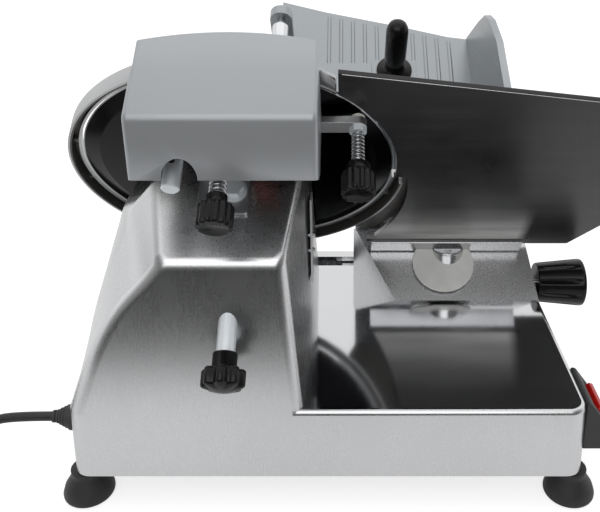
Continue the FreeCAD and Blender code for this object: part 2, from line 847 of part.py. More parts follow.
def hood_shell(inset, low):
    """The hood's block, shrunk by its wall and carried past its open lower side."""
    front = V(0, hood_lip_out - hood_fold_out, hood_top - hood_lip_up)
    front.normalize()
    slope = (hood_lip_out - hood_fold_out) / (hood_top - hood_lip_up)
    top = hood_top - inset
    lip = hood_lip_up - low

    def front_out(up):
        return hood_fold_out + (hood_top - up - inset * front.y) * slope - inset * front.z

    side_out = front_out(lip) - (hood_lip_up - hood_side_low) * hood_lip_slope
    pairs = [(top, -hood_far - inset), (top, front_out(top)), (lip, front_out(lip)),
             (hood_side_low - low, side_out), (hood_side_low - low, -hood_far - inset)]
    outline = [V(hood_left + inset, up, out) for up, out in pairs]
    block = prism(outline, V(hood_right - hood_left - 2 * inset, 0, 0))
    bends = []
    for edge in block.Edges:
        middle = edge.valueAt((edge.FirstParameter + edge.LastParameter) / 2)
        span = edge.Vertexes[-1].Point - edge.Vertexes[0].Point
        on_top = abs(middle.y - top) < 0.1 and middle.z > -hood_far
        on_front = abs(span.x) < 0.1 and middle.z > hood_fold_out and middle.y > hood_lip_up
        if on_top or on_front:
            bends.append(edge)
    return block.makeFillet(hood_bend - inset, bends)


def make_sharpener_hood():
    hood = hood_shell(0, 0).cut(hood_shell(hood_wall, 8))
    back = box(hood_left - 1, hood_right + 1, hood_side_low - 10, hood_top - hood_wall,
               -hood_far - 20, hood_side_back)
    hood = hood.cut(back)
    middle = (hood_left + hood_right) / 2
    half = (hood_right - hood_left) / 2 + 5
    arc = Part.Arc(V(middle - half, 0, hood_sag - hood_far), V(middle, 0, -hood_far),
                   V(middle + half, 0, hood_sag - hood_far))
    left = V(middle - half, 0, -hood_far - 40)
    right = V(middle + half, 0, -hood_far - 40)
    far = Part.Wire([arc.toShape(), Part.makeLine(arc.EndPoint, right), Part.makeLine(right, left),
                     Part.makeLine(left, arc.StartPoint)])
    far = Part.Face(far).extrude(V(0, 200, 0))
    notch = bore_out(hood_notch, post_across + 8.5, hood_lip_up, hood_lip_out - 40, 120)
    return knife_to_floor(hood.cut(far.fuse(notch)))


def make_grinding_stud():
    end = grinding_knob_back + stud_seat
    profile = [(0, wheel_back + 2), (stud_radius, wheel_back + 2), (stud_radius, wheel_front),
               (8, wheel_front), (8, wheel_front + 4), (stud_radius, wheel_front + 4), (stud_radius, end),
               (0, end)]
    return knife_to_floor(turned(profile, along(wheel_across, wheel_up, 0), Z))


def make_grinding_wheel():
    profile = [(0, wheel_back), (wheel_radius - 1.5, wheel_back), (wheel_radius, wheel_back + 1.5),
               (wheel_radius, wheel_front - 0.2), (stud_radius + running_gap, wheel_front - 0.2),
               (stud_radius + running_gap, wheel_back + 1.9), (0, wheel_back + 1.9)]
    return knife_to_floor(turned(profile, along(wheel_across, wheel_up, 0), Z))


def fluted_knob(grip, collar, back, collar_length, bore, across, up, swallow):
    """A push knob: a collar, then a fluted grip, with a counterbore that takes in its spring."""
    top = back + knob_length
    profile = [(0, back), (collar, back), (collar, back + collar_length), (grip, back + collar_length + 2),
               (grip, top - 1), (grip - 1, top), (0, top)]
    knob = turned(profile, O, Z)
    grooves = []
    count = 18
    for index in range(count):
        middle = on_circle(grip + 0.6, index * 360 / count)
        grooves.append(cylinder(1.3, middle + V(0, 0, back + collar_length), middle + V(0, 0, top + 1)))
    knob = knob.cut(grooves[0].fuse(grooves[1:]))
    knob = knob.cut(cylinder(bore + running_gap, V(0, 0, back - 1), V(0, 0, back + stud_seat + running_gap)))
    knob = knob.cut(cylinder(swallow, V(0, 0, back - 1), V(0, 0, back + spring_pocket)))
    knob.translate(V(across, up, 0))
    return knife_to_floor(knob)


def make_grinding_knob():
    return fluted_knob(grinding_knob_radius, grinding_collar_radius, grinding_knob_back, 7, stud_radius,
                       wheel_across, wheel_up, grinding_spring_radius + wire_radius + spring_room)


def make_honing_knob():
    return fluted_knob(hone_knob_radius, hone_collar_radius, hone_knob_back, 6, hone_stud_radius,
                       hone_across, hone_up, honing_spring_radius + wire_radius + spring_room)


def make_honing_stud():
    end = hone_knob_back + stud_seat
    return knife_to_floor(bore_out(hone_stud_radius, hone_across, hone_up, hone_back + 1.5, end))


def make_honing_stone():
    profile = [(0, hone_back), (hone_radius - 0.5, hone_back), (hone_radius, hone_back + 0.5),
               (hone_radius, hone_back + 3.2), (hone_stud_radius + running_gap, hone_back + 3.2),
               (hone_stud_radius + running_gap, hone_back + 1.4), (0, hone_back + 1.4)]
    return knife_to_floor(turned(profile, along(hone_across, hone_up, 0), Z))


def make_honing_nut():
    nut = hexagon(11, along(hone_across, hone_up, hone_arm_front), V(0, 0, hone_nut_front - hone_arm_front))
    bore = bore_out(hone_stud_radius + running_gap, hone_across, hone_up, 0, 40)
    return knife_to_floor(nut.cut(bore))


def biarc(start, start_way, end, end_way):
    """Two arcs that leave one point and reach the other along the given directions."""
    chord = end - start
    ways = start_way + end_way
    spread = 2 * (1 - start_way.dot(end_way))
    reach = (-chord.dot(ways) + math.sqrt(chord.dot(ways) ** 2 + spread * chord.dot(chord))) / spread
    joint = (start + end + (start_way - end_way) * reach) * 0.5
    return [arc_along(start, start_way, joint), arc_along(joint, None, end, end_way)]


def arc_along(start, start_way, end, end_way=None):
    """The arc from one point to another whose direction is known at one of its ends."""
    chord = end - start
    way = start_way if start_way is not None else end_way * -1
    base = start if start_way is not None else end
    line = chord if start_way is not None else chord * -1
    normal = way.cross(line)
    side = normal.cross(way)
    side.normalize()
    radius = line.dot(line) / (2 * line.dot(side))
    centre = base + side * radius
    middle = (start + end) * 0.5 - centre
    middle.normalize()
    return Part.Arc(start, centre + middle * radius, end).toShape()


def biarcs(points, ways):
    """The arcs that pass through the points, each with its direction."""
    edges = []
    for index in range(len(points) - 1):
        edges += biarc(points[index], ways[index], points[index + 1], ways[index + 1])
    return edges


def least_gap(edges, radius):
    """The smallest clear gap between stretches of a wound wire that lie half a turn apart or more."""
    points = []
    for edge in edges:
        points += edge.discretize(9)[:-1]
    half_turn = 32
    least = math.inf
    for first in range(len(points)):
        for second in range(first + half_turn, len(points)):
            least = min(least, (points[first] - points[second]).Length)
    return least - 2 * radius


def make_spring(start, end, coil_radius, curls, across, up):
    """A compression spring: an open helix made of quarter-turn arcs."""
    pitch = (end - start - 2 * wire_radius) / curls
    points = []
    ways = []
    for index in range(curls * 4 + 1):
        angle = index * 90.0
        turn = math.radians(angle)
        points.append(V(coil_radius * math.cos(turn), coil_radius * math.sin(turn),
                        start + wire_radius + pitch * index / 4))
        way = V(-coil_radius * math.sin(turn), coil_radius * math.cos(turn), pitch / (2 * math.pi))
        way.normalize()
        ways.append(way)
    lead = 2 * wire_radius
    first = points[0] - V(0, lead, 0)
    last = points[-1] + V(0, lead, 0)
    ways[0] = V(0, 1, 0)
    ways[-1] = V(0, 1, 0)
    edges = [Part.makeLine(first, points[0])] + biarcs(points, ways) + [Part.makeLine(points[-1], last)]
    circle = Part.Wire([Part.Circle(first, ways[0], wire_radius).toShape()])
    spring = Part.Wire(edges).makePipeShell([circle], True, False)
    spring.translate(V(across, up, 0))
    print("spring curls", curls, "least gap", round(least_gap(edges, wire_radius), 2))
    return knife_to_floor(spring)


# Side shield
def make_side_shield():
    shield = box(pedestal_right_back, pedestal_right_back + 1.5, 74, 92,
                 deck_height + 65, deck_height + 139)
    for place_y, place_z in shield_screw_places:
        shield = shield.cut(cylinder(shield_screw_radius + running_gap,
                                     V(pedestal_right_back - 5, place_y, place_z),
                                     V(pedestal_right_back + 5, place_y, place_z)))
    return shield


def make_shield_screws():
    screws = []
    for place_y, place_z in shield_screw_places:
        profile = [(0, -3.5), (shield_screw_radius, -3.5), (shield_screw_radius, 1.5), (2.6, 1.5), (2.2, 2.7),
                   (1.2, 3.4), (0, 3.6)]
        screws.append(turned(profile, V(pedestal_right_back, place_y, place_z), X))
    return screws


# Gauge plate and its slide
bar_left = knife_radius - 14.0
bar_right = guide_across + 71.0
bar_front = 9.0
bar_top = -131.5
bar_bottom = -149.5
disc_radius = 30.0
disc_out = 23.5
disc_across = guide_across - 5.5
disc_lift = 3.0
disc_thickness = 2.5
foot_half = 15.0
carrier_back = 14.0
carrier_front = 44.0
rack_out_low = 22.0
rack_out_high = 42.0
tooth_pitch = 2 * math.pi * pinion_pitch_radius / pinion_teeth
tooth_height = 0.32 * tooth_pitch
rack_x = base_right - 50.0
rack_width = 10.0


def make_gauge_plate():
    cut = knife_radius + gauge_gap
    arc_top = math.degrees(math.acos(gauge_left / cut))
    arc_start = on_circle(cut, -6)
    arc_end = on_circle(cut, arc_top)
    tip = on_circle(cut + 10.5, -7)
    heel = V(knife_radius - 18, gauge_bottom, 0)
    flare = V(knife_radius + 10.7, gauge_flare_up, 0)
    slope = math.tan(math.radians(gauge_slope))
    top_left = V(gauge_left, gauge_top_left, 0)
    top_right = V(gauge_right, gauge_top_left - (gauge_right - gauge_left) * slope, 0)
    corner_start = top_right + V(-22, 22 * slope, 0)
    corner_end = top_right + V(0, -20, 0)
    corner = top_right + V(-6, -4.5, 0)
    low = gauge_bottom - 6.5
    rim = [corner_end, V(gauge_right, -72, 0), V(gauge_right - 18, -104, 0), V(gauge_right - 40, low, 0),
           V(gauge_right - 77, low, 0), heel]
    edges = [Part.makeLine(tip, arc_start), Part.Arc(arc_start, on_circle(cut, 20), arc_end).toShape(),
             Part.makeLine(arc_end, top_left), Part.makeLine(top_left, corner_start),
             Part.Arc(corner_start, corner, corner_end).toShape()]
    edges += [Part.makeLine(start, end) for start, end in zip(rim, rim[1:])]
    edges.append(Part.Arc(heel, flare, tip).toShape())
    plate = Part.Face(Part.Wire(edges)).extrude(V(0, 0, gauge_thickness))
    ledge = box(bar_left - 5, bar_right + 4, bar_top, bar_top + 5.5, gauge_thickness - 1, gauge_thickness + 3)
    return knife_to_floor(plate.fuse(ledge))


def gauge_foot():
    """The upright foot of the gauge arm behind the plate, drawn over the floor."""
    return knife_to_floor(box(guide_across - foot_half, guide_across + foot_half, -158, -108, -5, 0))


def make_gauge_bar():
    bar = box(bar_left, bar_right, bar_bottom, bar_top, gauge_thickness, bar_front)
    bar = bar.makeFillet(1.0, [e for e in bar.Edges if abs(e.Length - (bar_right - bar_left)) < 0.1])
    disc_low = ramp_level + disc_lift
    over_disc = cylinder(disc_radius + seat_gap, V(disc_across, disc_low - 5, disc_out),
                         V(disc_across, disc_low + disc_thickness + seat_gap, disc_out))
    return knife_to_floor(bar.cut(over_disc)).cut(column(column_radius, column_top - 40, column_top))


def column(radius, low, high):
    return cylinder(radius, V(column_x, column_y, low), V(column_x, column_y, high))


def rack_tooth(middle):
    """One rack tooth in the knife frame, its flanks leaning in like the pinion's."""
    half = 0.21 * tooth_pitch
    tip = half - tooth_height * 0.36
    root = half + tooth_height * 0.5
    pitch_up = pinion_up() - pinion_pitch_radius
    x0 = rack_x - knife_x
    low = pitch_up - tooth_height * 1.35
    high = pitch_up + tooth_height * 0.9
    points = [V(x0, low, middle - root), V(x0, high, middle - tip), V(x0, high, middle + tip),
              V(x0, low, middle + root)]
    return prism(points, V(rack_width, 0, 0))


def pinion_up():
    return knife_coords(V(0, dial_y, dial_z))[1]


def pinion_out():
    return knife_coords(V(0, dial_y, dial_z))[2]


def make_gauge_arm():
    carrier = box(guide_across - 20, guide_across + 20, guide_up - 10, ramp_level - base_wall - 1.7,
                  carrier_back, carrier_front)
    rack_top = pinion_up() - pinion_pitch_radius - tooth_height * 1.25
    link = box(guide_across + 18, rack_x - knife_x + rack_width, guide_up - 10, rack_top,
               rack_out_low, rack_out_high)
    teeth = []
    middle = pinion_out() + 1.5 * tooth_pitch
    while middle > rack_out_low + 2:
        teeth.append(rack_tooth(middle))
        middle -= tooth_pitch
    drawn = knife_to_floor(carrier.fuse([link] + teeth))
    post = column(column_radius, deck_height + 12, column_top)
    post = post.makeFillet(2.0, [e for e in post.Edges if abs(e.CenterOfMass.z - column_top) < 0.1])
    arm = drawn.fuse([post, gauge_foot()])
    bore = cylinder(guide_radius + running_gap, knife_point(guide_across, guide_up, 0),
                    knife_point(guide_across, guide_up, 60))
    dimple = cylinder(2.0, V(column_x + 1, column_y - 8, column_top - 1),
                      V(column_x + 1, column_y - 8, column_top + 1))
    return arm.cut(bore.fuse(dimple))


def make_gauge_disc():
    low = ramp_level + disc_lift
    disc = cylinder(disc_radius, V(disc_across, low, disc_out),
                    V(disc_across, low + disc_thickness, disc_out))
    disc = disc.makeFillet(0.8, [e for e in disc.Edges if abs(e.Length - 2 * math.pi * disc_radius) < 0.1])
    behind = box(guide_across - foot_half - seat_gap, guide_across + foot_half + seat_gap,
                 low - 1, low + 4, disc_out - disc_radius - 1, seat_gap)
    around = column(column_radius + running_gap, deck_height - 5, deck_height + 65)
    return knife_to_floor(disc.cut(behind)).cut(around)


def make_gauge_rod():
    return cylinder(guide_radius, knife_point(guide_across, guide_up, guide_back_lug + 1),
                    knife_point(guide_across, guide_up, guide_front_lug + 8))


dial_root = 19.0
dial_face = 23.0
dial_length = 45.0


def make_dial_shaft():
    end = base_right + 0.4 + dial_length - 12
    shaft = cylinder(dial_shaft_radius, V(rack_x - 3, dial_y, dial_z), V(end, dial_y, dial_z))
    core = cylinder(pinion_pitch_radius - tooth_height * 1.15, V(rack_x, dial_y, dial_z),
                    V(rack_x + rack_width, dial_y, dial_z))
    teeth = []
    half = 0.21 * tooth_pitch
    tip_radius = pinion_pitch_radius + tooth_height * 0.9
    for index in range(pinion_teeth):
        points = [V(rack_x, 1, -half * 1.45), V(rack_x, pinion_pitch_radius, -half),
                  V(rack_x, tip_radius, -half * 0.42), V(rack_x, tip_radius, half * 0.42),
                  V(rack_x, pinion_pitch_radius, half), V(rack_x, 1, half * 1.45)]
        tooth = prism(points, V(rack_width, 0, 0))
        tooth.rotate(O, X, index * 360 / pinion_teeth + knife_lean - 90)
        tooth.translate(V(0, dial_y, dial_z))
        teeth.append(tooth)
    return shaft.fuse([core] + teeth)


def make_dial():
    start = V(base_right + 0.4, dial_y, dial_z)
    profile = [(0, 0), (dial_root, 0), (dial_face, dial_length - 3), (dial_face, dial_length - 1.2),
               (dial_face - 1.2, dial_length), (0, dial_length)]
    knob = turned(profile, start, X)
    grooves = []
    count = 9
    for index in range(count):
        groove = cone(2.6, 3.6, V(-1, 0, dial_root + 1.1), V(dial_length - 7, 0, dial_face + 1.6))
        groove.rotate(O, X, index * 360 / count)
        groove.translate(start)
        grooves.append(groove)
    knob = knob.cut(grooves[0].fuse(grooves[1:]))
    bore = cylinder(dial_shaft_radius + running_gap, start - V(1, 0, 0),
                    start + V(dial_length - 12 + running_gap, 0, 0))
    return knob.cut(bore)


# Switch, gland and power cord
def make_switch_housing():
    face = base_right + 16.0
    shell = prism([V(base_right, switch_y0, switch_z0), V(face, switch_y0, switch_z0),
                   V(face, switch_y0, switch_z1 - 16), V(face - 12, switch_y0, switch_z1),
                   V(base_right, switch_y0, switch_z1)], V(0, switch_y1 - switch_y0, 0))
    back = box(base_right - 8, base_right + 2, switch_y0 + 8.3, switch_y1 - 8.3,
               switch_z0 + 8.3, switch_z1 - 8.3)
    shell = shell.fuse(back)
    room = box(base_right + 5, face + 5, switch_y0 + 9, switch_y1 - 9, switch_z0 + 8, switch_z1 - 6)
    return shell.cut(room)


rocker_x = base_right + 9.5
rocker_z = (switch_z0 + switch_z1) / 2 + 1.0


def make_switch_rocker():
    low = rocker_z - 11.5
    high = rocker_z + 11.5
    points = [V(rocker_x - 3, switch_y0 + 9.4, rocker_z - 4), V(rocker_x + 2, switch_y0 + 9.4, low),
              V(rocker_x + 5.5, switch_y0 + 9.4, low), V(rocker_x + 4, switch_y0 + 9.4, rocker_z),
              V(rocker_x + 7.5, switch_y0 + 9.4, high - 1), V(rocker_x + 4, switch_y0 + 9.4, high),
              V(rocker_x - 3, switch_y0 + 9.4, rocker_z + 4)]
    return prism(points, V(0, switch_y1 - switch_y0 - 18.8, 0))


gland_length = 20.0
gland_radius = 10.8
cord_radius = 3.75


def make_cord_gland():
    start = V(base_left, gland_y, gland_z)
    profile = [(0, -9), (gland_bore + 0.9, -9), (gland_bore + 0.9, 0), (gland_radius, 0), (gland_radius, 6),
               (gland_radius - 1.2, 11), (gland_radius - 3.6, 16), (cord_radius + 1.2, gland_length),
               (0, gland_length)]
    return turned(profile, start, V(-1, 0, 0))


cord_exit = V(base_left - gland_length, gland_y, gland_z)
coil_centre = V(-364.0, 49.0, cord_radius + 0.05)
coil_outer = 51.0
coil_pitch = 8.3
coil_rise = 8.3
coil_dip = 1.0
coil_tail = 44.0
cord_route = [
    cord_exit,
    V(-244, 15, 62),
    V(-268, 13.5, 60),
    V(-288, 9, 48),
    V(-302, 4, 28),
    V(-318, 0, 12),
    V(-337, -2, 3.8),
    V(coil_centre.x + 2 * cord_radius, coil_centre.y - coil_outer, coil_centre.z),
]


def make_cord_run():
    """The free stretch: straight runs joined by arcs as large as the runs allow."""
    edges = []
    start = cord_route[0]
    for index in range(1, len(cord_route) - 1):
        corner = cord_route[index]
        back = cord_route[index - 1] - corner
        ahead = cord_route[index + 1] - corner
        shorter = min(back.Length, ahead.Length)
        back.normalize()
        ahead.normalize()
        half_turn = math.pi / 2 - back.getAngle(ahead) / 2
        radius = 0.45 * shorter / math.tan(half_turn)
        print("cord arc radius", round(radius, 1), "turn", round(math.degrees(2 * half_turn), 1))
        enter = corner + back * (0.45 * shorter)
        leave = corner + ahead * (0.45 * shorter)
        bisector = back + ahead
        bisector.normalize()
        middle = corner + bisector * (radius / math.cos(half_turn) - radius)
        edges.append(Part.LineSegment(start, enter).toShape())
        edges.append(Part.Arc(enter, middle, leave).toShape())
        start = leave
    edges.append(Part.LineSegment(start, cord_route[-1]).toShape())
    length = sum(edge.Length for edge in edges)
    way = cord_route[1] - cord_route[0]
    circle = Part.Wire([Part.Circle(cord_route[0], way, cord_radius).toShape()])
    solid = Part.Wire(edges).makePipeShell([circle], True, False)
    print("cord run length", round(length, 1), "volume ratio",
          round(solid.Volume / (length * math.pi * cord_radius ** 2), 4))
    return solid


def coil_place(turns):
    """A point of the coil and its direction, by the turns wound so far."""
    step = 1e-4
    here = coil_point(turns)
    way = coil_point(turns + step) - coil_point(turns - step)
    way.normalize()
    return here, way


coil_lower_turns = 2.5
coil_climb_turns = 0.5
coil_upper_turns = 2.25
coil_turns = coil_lower_turns + coil_climb_turns + coil_upper_turns


def coil_point(turns):
    """The wound line: it spirals in, climbs a layer in half a turn, and spirals out again."""
    climb_end = coil_lower_turns + coil_climb_turns
    if turns < coil_lower_turns:
        radius = coil_outer - coil_pitch * turns
        height = 0.0
    elif turns < climb_end:
        share = (turns - coil_lower_turns) / coil_climb_turns
        radius = coil_outer - coil_pitch * coil_lower_turns - coil_dip * math.sin(math.pi * share) ** 2
        height = coil_rise * share * share * (3 - 2 * share)
    else:
        radius = coil_outer - coil_pitch * (coil_lower_turns - (turns - climb_end))
        height = coil_rise
    turn = math.radians(-90 - 360 * turns)
    return coil_centre + V(radius * math.cos(turn), radius * math.sin(turn), height)


def make_cord_coil():
    lead = 2 * cord_radius
    points = []
    ways = []
    count = int(round(coil_turns * 4))
    for index in range(count + 1):
        here, way = coil_place(index / 4)
        points.append(here)
        ways.append(way)
    ways[0] = V(-1, 0, 0)
    ways[-1] = V(0, 1, 0)
    edges = [Part.makeLine(points[0] + V(lead, 0, 0), points[0])]
    edges += biarcs(points, ways)
    edges.append(Part.makeLine(points[-1], points[-1] + V(0, coil_tail, 0)))
    wire = Part.Wire(edges)
    circle = Part.Wire([Part.Circle(points[0] + V(lead, 0, 0), V(-1, 0, 0), cord_radius).toShape()])
    solid = wire.makePipeShell([circle], True, False)
    print("coil length", round(wire.Length, 1), "volume ratio",
          round(solid.Volume / (wire.Length * math.pi * cord_radius ** 2), 4),
          "least gap", round(least_gap(edges, cord_radius), 2))
    return solid


def coil_end():
    return coil_point(coil_turns) + V(0, coil_tail, 0)


def make_plug():
    start = coil_end()
    relief = turned([(0, 0), (cord_radius + 1, 0), (cord_radius + 2.5, 12), (0, 12)], start, Y)
    body = Part.makeLoft([
        rounded_outline(start + V(0, 11, 0), 9, 8, 3),
        rounded_outline(start + V(0, 20, 0), 12.5, 11.8, 4),
        rounded_outline(start + V(0, 36, 0), 13.5, 11.8, 4),
    ], True, True)
    grip = start + V(0, 36, 0)
    pins = [box(grip.x + side - 0.75, grip.x + side + 0.75, grip.y - 1, grip.y + 16, grip.z, grip.z + 6.4)
            for side in (-6.35, 6.35)]
    ground = cylinder(2.4, grip + V(0, -1, -7), grip + V(0, 18, -7))
    return relief.fuse([body, ground] + pins)


def rounded_outline(centre, half_width, half_height, radius):
    """A rounded rectangle square to the cord's end."""
    corners = []
    for sx, sz, turn in ((1, 1, 0), (-1, 1, 90), (-1, -1, 180), (1, -1, 270)):
        middle = centre + V(sx * (half_width - radius), 0, sz * (half_height - radius))
        corners.append([middle + V(radius * math.cos(math.radians(turn + step)), 0,
                                   radius * math.sin(math.radians(turn + step))) for step in (0, 45, 90)])
    edges = []
    for index in range(4):
        edges.append(Part.Arc(*corners[index]).toShape())
        edges.append(Part.makeLine(corners[index][2], corners[(index + 1) % 4][0]))
    return Part.Wire(edges)


# Carriage, tray and pusher
carriage_x = knife_x + 115.8
carriage_half = 40.0
bush_wall = 3.0
arm_half_width = 20.0
arm_thickness = 13.0
bed_up = -90.0
bed_thickness = 5.0
bed_left = 16.0
bed_right = 216.0
bed_near = 9.0
bed_far_left = 268.0
bed_far_right = 214.0
rib_pitch = 12.8
rib_first = 68.0
rod_across = 20.0
rod_up = -45.0
pusher_rod_radius = 4.25
near_lug = 14.0
far_lug = 200.0


def make_carriage_bar():
    return cylinder(bar_radius, V(base_left + 3 + running_gap, slot_y, bar_z),
                    V(base_right - 3 - running_gap, slot_y, bar_z))


def make_carriage_block():
    block = box(carriage_x - carriage_half, carriage_x + carriage_half, slot_y - 17, slot_y + 17,
                bar_z - 18, bar_z + 16)
    block = rounded(block, 4, lambda m, s: abs(s.x) > 1)
    bore = cylinder(bar_radius + bush_wall + running_gap, V(carriage_x - 60, slot_y, bar_z),
                    V(carriage_x + 60, slot_y, bar_z))
    return block.cut(bore)


def make_carriage_bushes():
    bushes = []
    for start in (carriage_x - carriage_half, carriage_x + carriage_half - 22):
        bushes.append(tube(bar_radius + bush_wall, bar_radius + running_gap, V(start, slot_y, bar_z),
                           V(start + 22, slot_y, bar_z)))
    return bushes


lock_z = deck_height + 65.0


def make_tray_arm():
    foot = box(carriage_x - 34, carriage_x + 34, slot_y - 12, slot_y + 12, bar_z + 16, bar_z + 18.5)
    post = box(carriage_x - arm_half_width, carriage_x + arm_half_width, slot_y - arm_thickness / 2,
               slot_y + arm_thickness / 2, bar_z + 16, deck_height + 175)
    below_bed = knife_to_floor(box(-100, 300, -400, bed_up - bed_thickness, -300, 300))
    middle = carriage_x - knife_x
    pad = knife_to_floor(box(middle - 42, middle + 42, bed_up - bed_thickness - 6, bed_up - bed_thickness,
                             -118, -54))
    arm = foot.fuse([post.common(below_bed), pad])
    return arm.cut(cylinder(4 + running_gap, V(carriage_x, slot_y, lock_z),
                            V(carriage_x + 40, slot_y, lock_z)))


def make_lock_knob():
    start = V(carriage_x + arm_half_width + 0.5, slot_y, lock_z)
    knob = turned([(0, 0), (9, 0), (9, 5), (15, 7), (15, 18), (12, 21), (0, 21)], start, X)
    grooves = []
    for index in range(8):
        middle = V(0, 17.5 * math.cos(index * math.pi / 4), 17.5 * math.sin(index * math.pi / 4))
        grooves.append(cylinder(4.5, start + middle + V(5, 0, 0), start + middle + V(22, 0, 0)))
    stud = cylinder(4, V(carriage_x + 6, slot_y, lock_z), start + V(2, 0, 0))
    return knob.cut(grooves[0].fuse(grooves[1:])).fuse(stud)


def bed_far(across):
    """How far back the bed reaches at a place across it."""
    stations = [(bed_left, bed_far_left), (bed_left + 47, bed_far_left - 15),
                (bed_right - 68, bed_far_right + 17), (bed_right - 20, bed_far_right + 3),
                (bed_right, bed_far_right)]
    for (x0, n0), (x1, n1) in zip(stations, stations[1:]):
        if x0 <= across <= x1:
            return n0 + (n1 - n0) * (across - x0) / (x1 - x0)
    return bed_far_right


def rod_lug(back):
    """An upright ear on the bed that holds one end of the pusher's rod."""
    width = 11.0
    ear = box(rod_across - width, rod_across + width, bed_up - 1, rod_up, -back - 10, -back)
    return ear.fuse(bore_out(width, rod_across, rod_up, -back - 10, -back))


def make_food_tray():
    low = bed_up - bed_thickness
    stations = [bed_left, bed_left + 47, bed_right - 68, bed_right - 20, bed_right]
    outline = [V(bed_left, low, -bed_near), V(bed_right, low, -bed_near)]
    outline += [V(across, low, -bed_far(across)) for across in reversed(stations)]
    bed = prism(outline, V(0, bed_thickness, 0))
    pieces = []
    across = rib_first
    while across < bed_right - 18:
        rib = prism([V(across - 2.2, bed_up, -bed_near - 4), V(across + 2.2, bed_up, -bed_near - 4),
                     V(across + 1.0, bed_up + 1.2, -bed_near - 4),
                     V(across - 1.0, bed_up + 1.2, -bed_near - 4)],
                    V(0, 0, -(bed_far(across) - bed_near - 10)))
        pieces.append(rib)
        across += rib_pitch
    profile = [(low, bed_near), (30, bed_near), (38, 20), (38, 53), (33, 104), (17, 143), (3, 162),
               (-27, 181), (-92, bed_far_right + 3), (low, bed_far_right + 3)]
    fence = prism([V(bed_right, up, -back) for up, back in profile], V(6, 0, 0))
    pieces += [fence, rod_lug(near_lug), rod_lug(far_lug)]
    tray = bed.fuse(pieces)
    bore = cylinder(pusher_rod_radius + running_gap, along(rod_across, rod_up, -near_lug - 3),
                    along(rod_across, rod_up, -far_lug - 7))
    return knife_to_floor(tray.cut(bore))


def make_pusher_rod():
    return knife_to_floor(cylinder(pusher_rod_radius, along(rod_across, rod_up, -near_lug - 3 - running_gap),
                                   along(rod_across, rod_up, -far_lug - 7 + running_gap)))


sleeve_near = 104.0
sleeve_far = 190.0
hub_near = 116.0
hub_far = 148.0
pusher_near = 84.0
handle_across = 130.0
handle_back = 104.0
handle_radius = 9.5


def make_pusher_sleeve():
    bore = pusher_rod_radius + running_gap
    profile = [(bore, -sleeve_far), (8, -sleeve_far), (8, -hub_far - 5), (10.5, -hub_far - 5),
               (10.5, -hub_far - 0.2), (8, -hub_far - 0.2), (8, -hub_near + 0.2), (10.5, -hub_near + 0.2),
               (10.5, -hub_near + 5), (8, -hub_near + 5), (8, -sleeve_near), (bore, -sleeve_near)]
    return knife_to_floor(turned(profile, along(rod_across, rod_up, 0), Z))


def make_pusher_arm():
    hub = cylinder(12, along(rod_across, rod_up, -hub_far), along(rod_across, rod_up, -hub_near))
    beam = box(rod_across + 4, handle_across + 22, rod_up - 5, rod_up + 5, -hub_far + 8, -hub_near - 0.2)
    rib = box(rod_across + 28, handle_across + 22, rod_up - 5, rod_up + 5, -hub_far + 8, -pusher_near - 1)
    plate = box(rod_across + 18, bed_right - 16, bed_up + 1.9, rod_up + 33, -pusher_near - 4, -pusher_near)
    plate = rounded(plate, 8, lambda m, s: abs(s.z) > 3 and m.y > rod_up)
    seat = box(handle_across - 20, handle_across + 20, rod_up + 2, rod_up + 38,
               -handle_back - 12, -pusher_near - 1)
    teeth = []
    for column_index in range(9):
        for row in range(3):
            across = rod_across + 32 + column_index * 16
            up = bed_up + 14 + row * 18
            foot = along(across, up, -pusher_near)
            teeth.append(cone(2.6, 0.4, foot, foot + V(0, 0, 4.5)))
    arm = hub.fuse([beam, rib, plate, seat] + teeth)
    bore = bore_out(8 + running_gap, rod_across, rod_up, -hub_far - 1, -hub_near + 1)
    return knife_to_floor(arm.cut(bore))


def make_pusher_handle():
    low = rod_up + 38
    profile = [(0, 0), (16, 0), (16, 2), (handle_radius - 0.8, 3.5), (handle_radius - 1.2, 8),
               (handle_radius, 16), (handle_radius, 54), (handle_radius - 2.5, 60), (handle_radius - 6, 62),
               (0, 62.5)]
    return knife_to_floor(turned(profile, V(handle_across, low, -handle_back), Y))


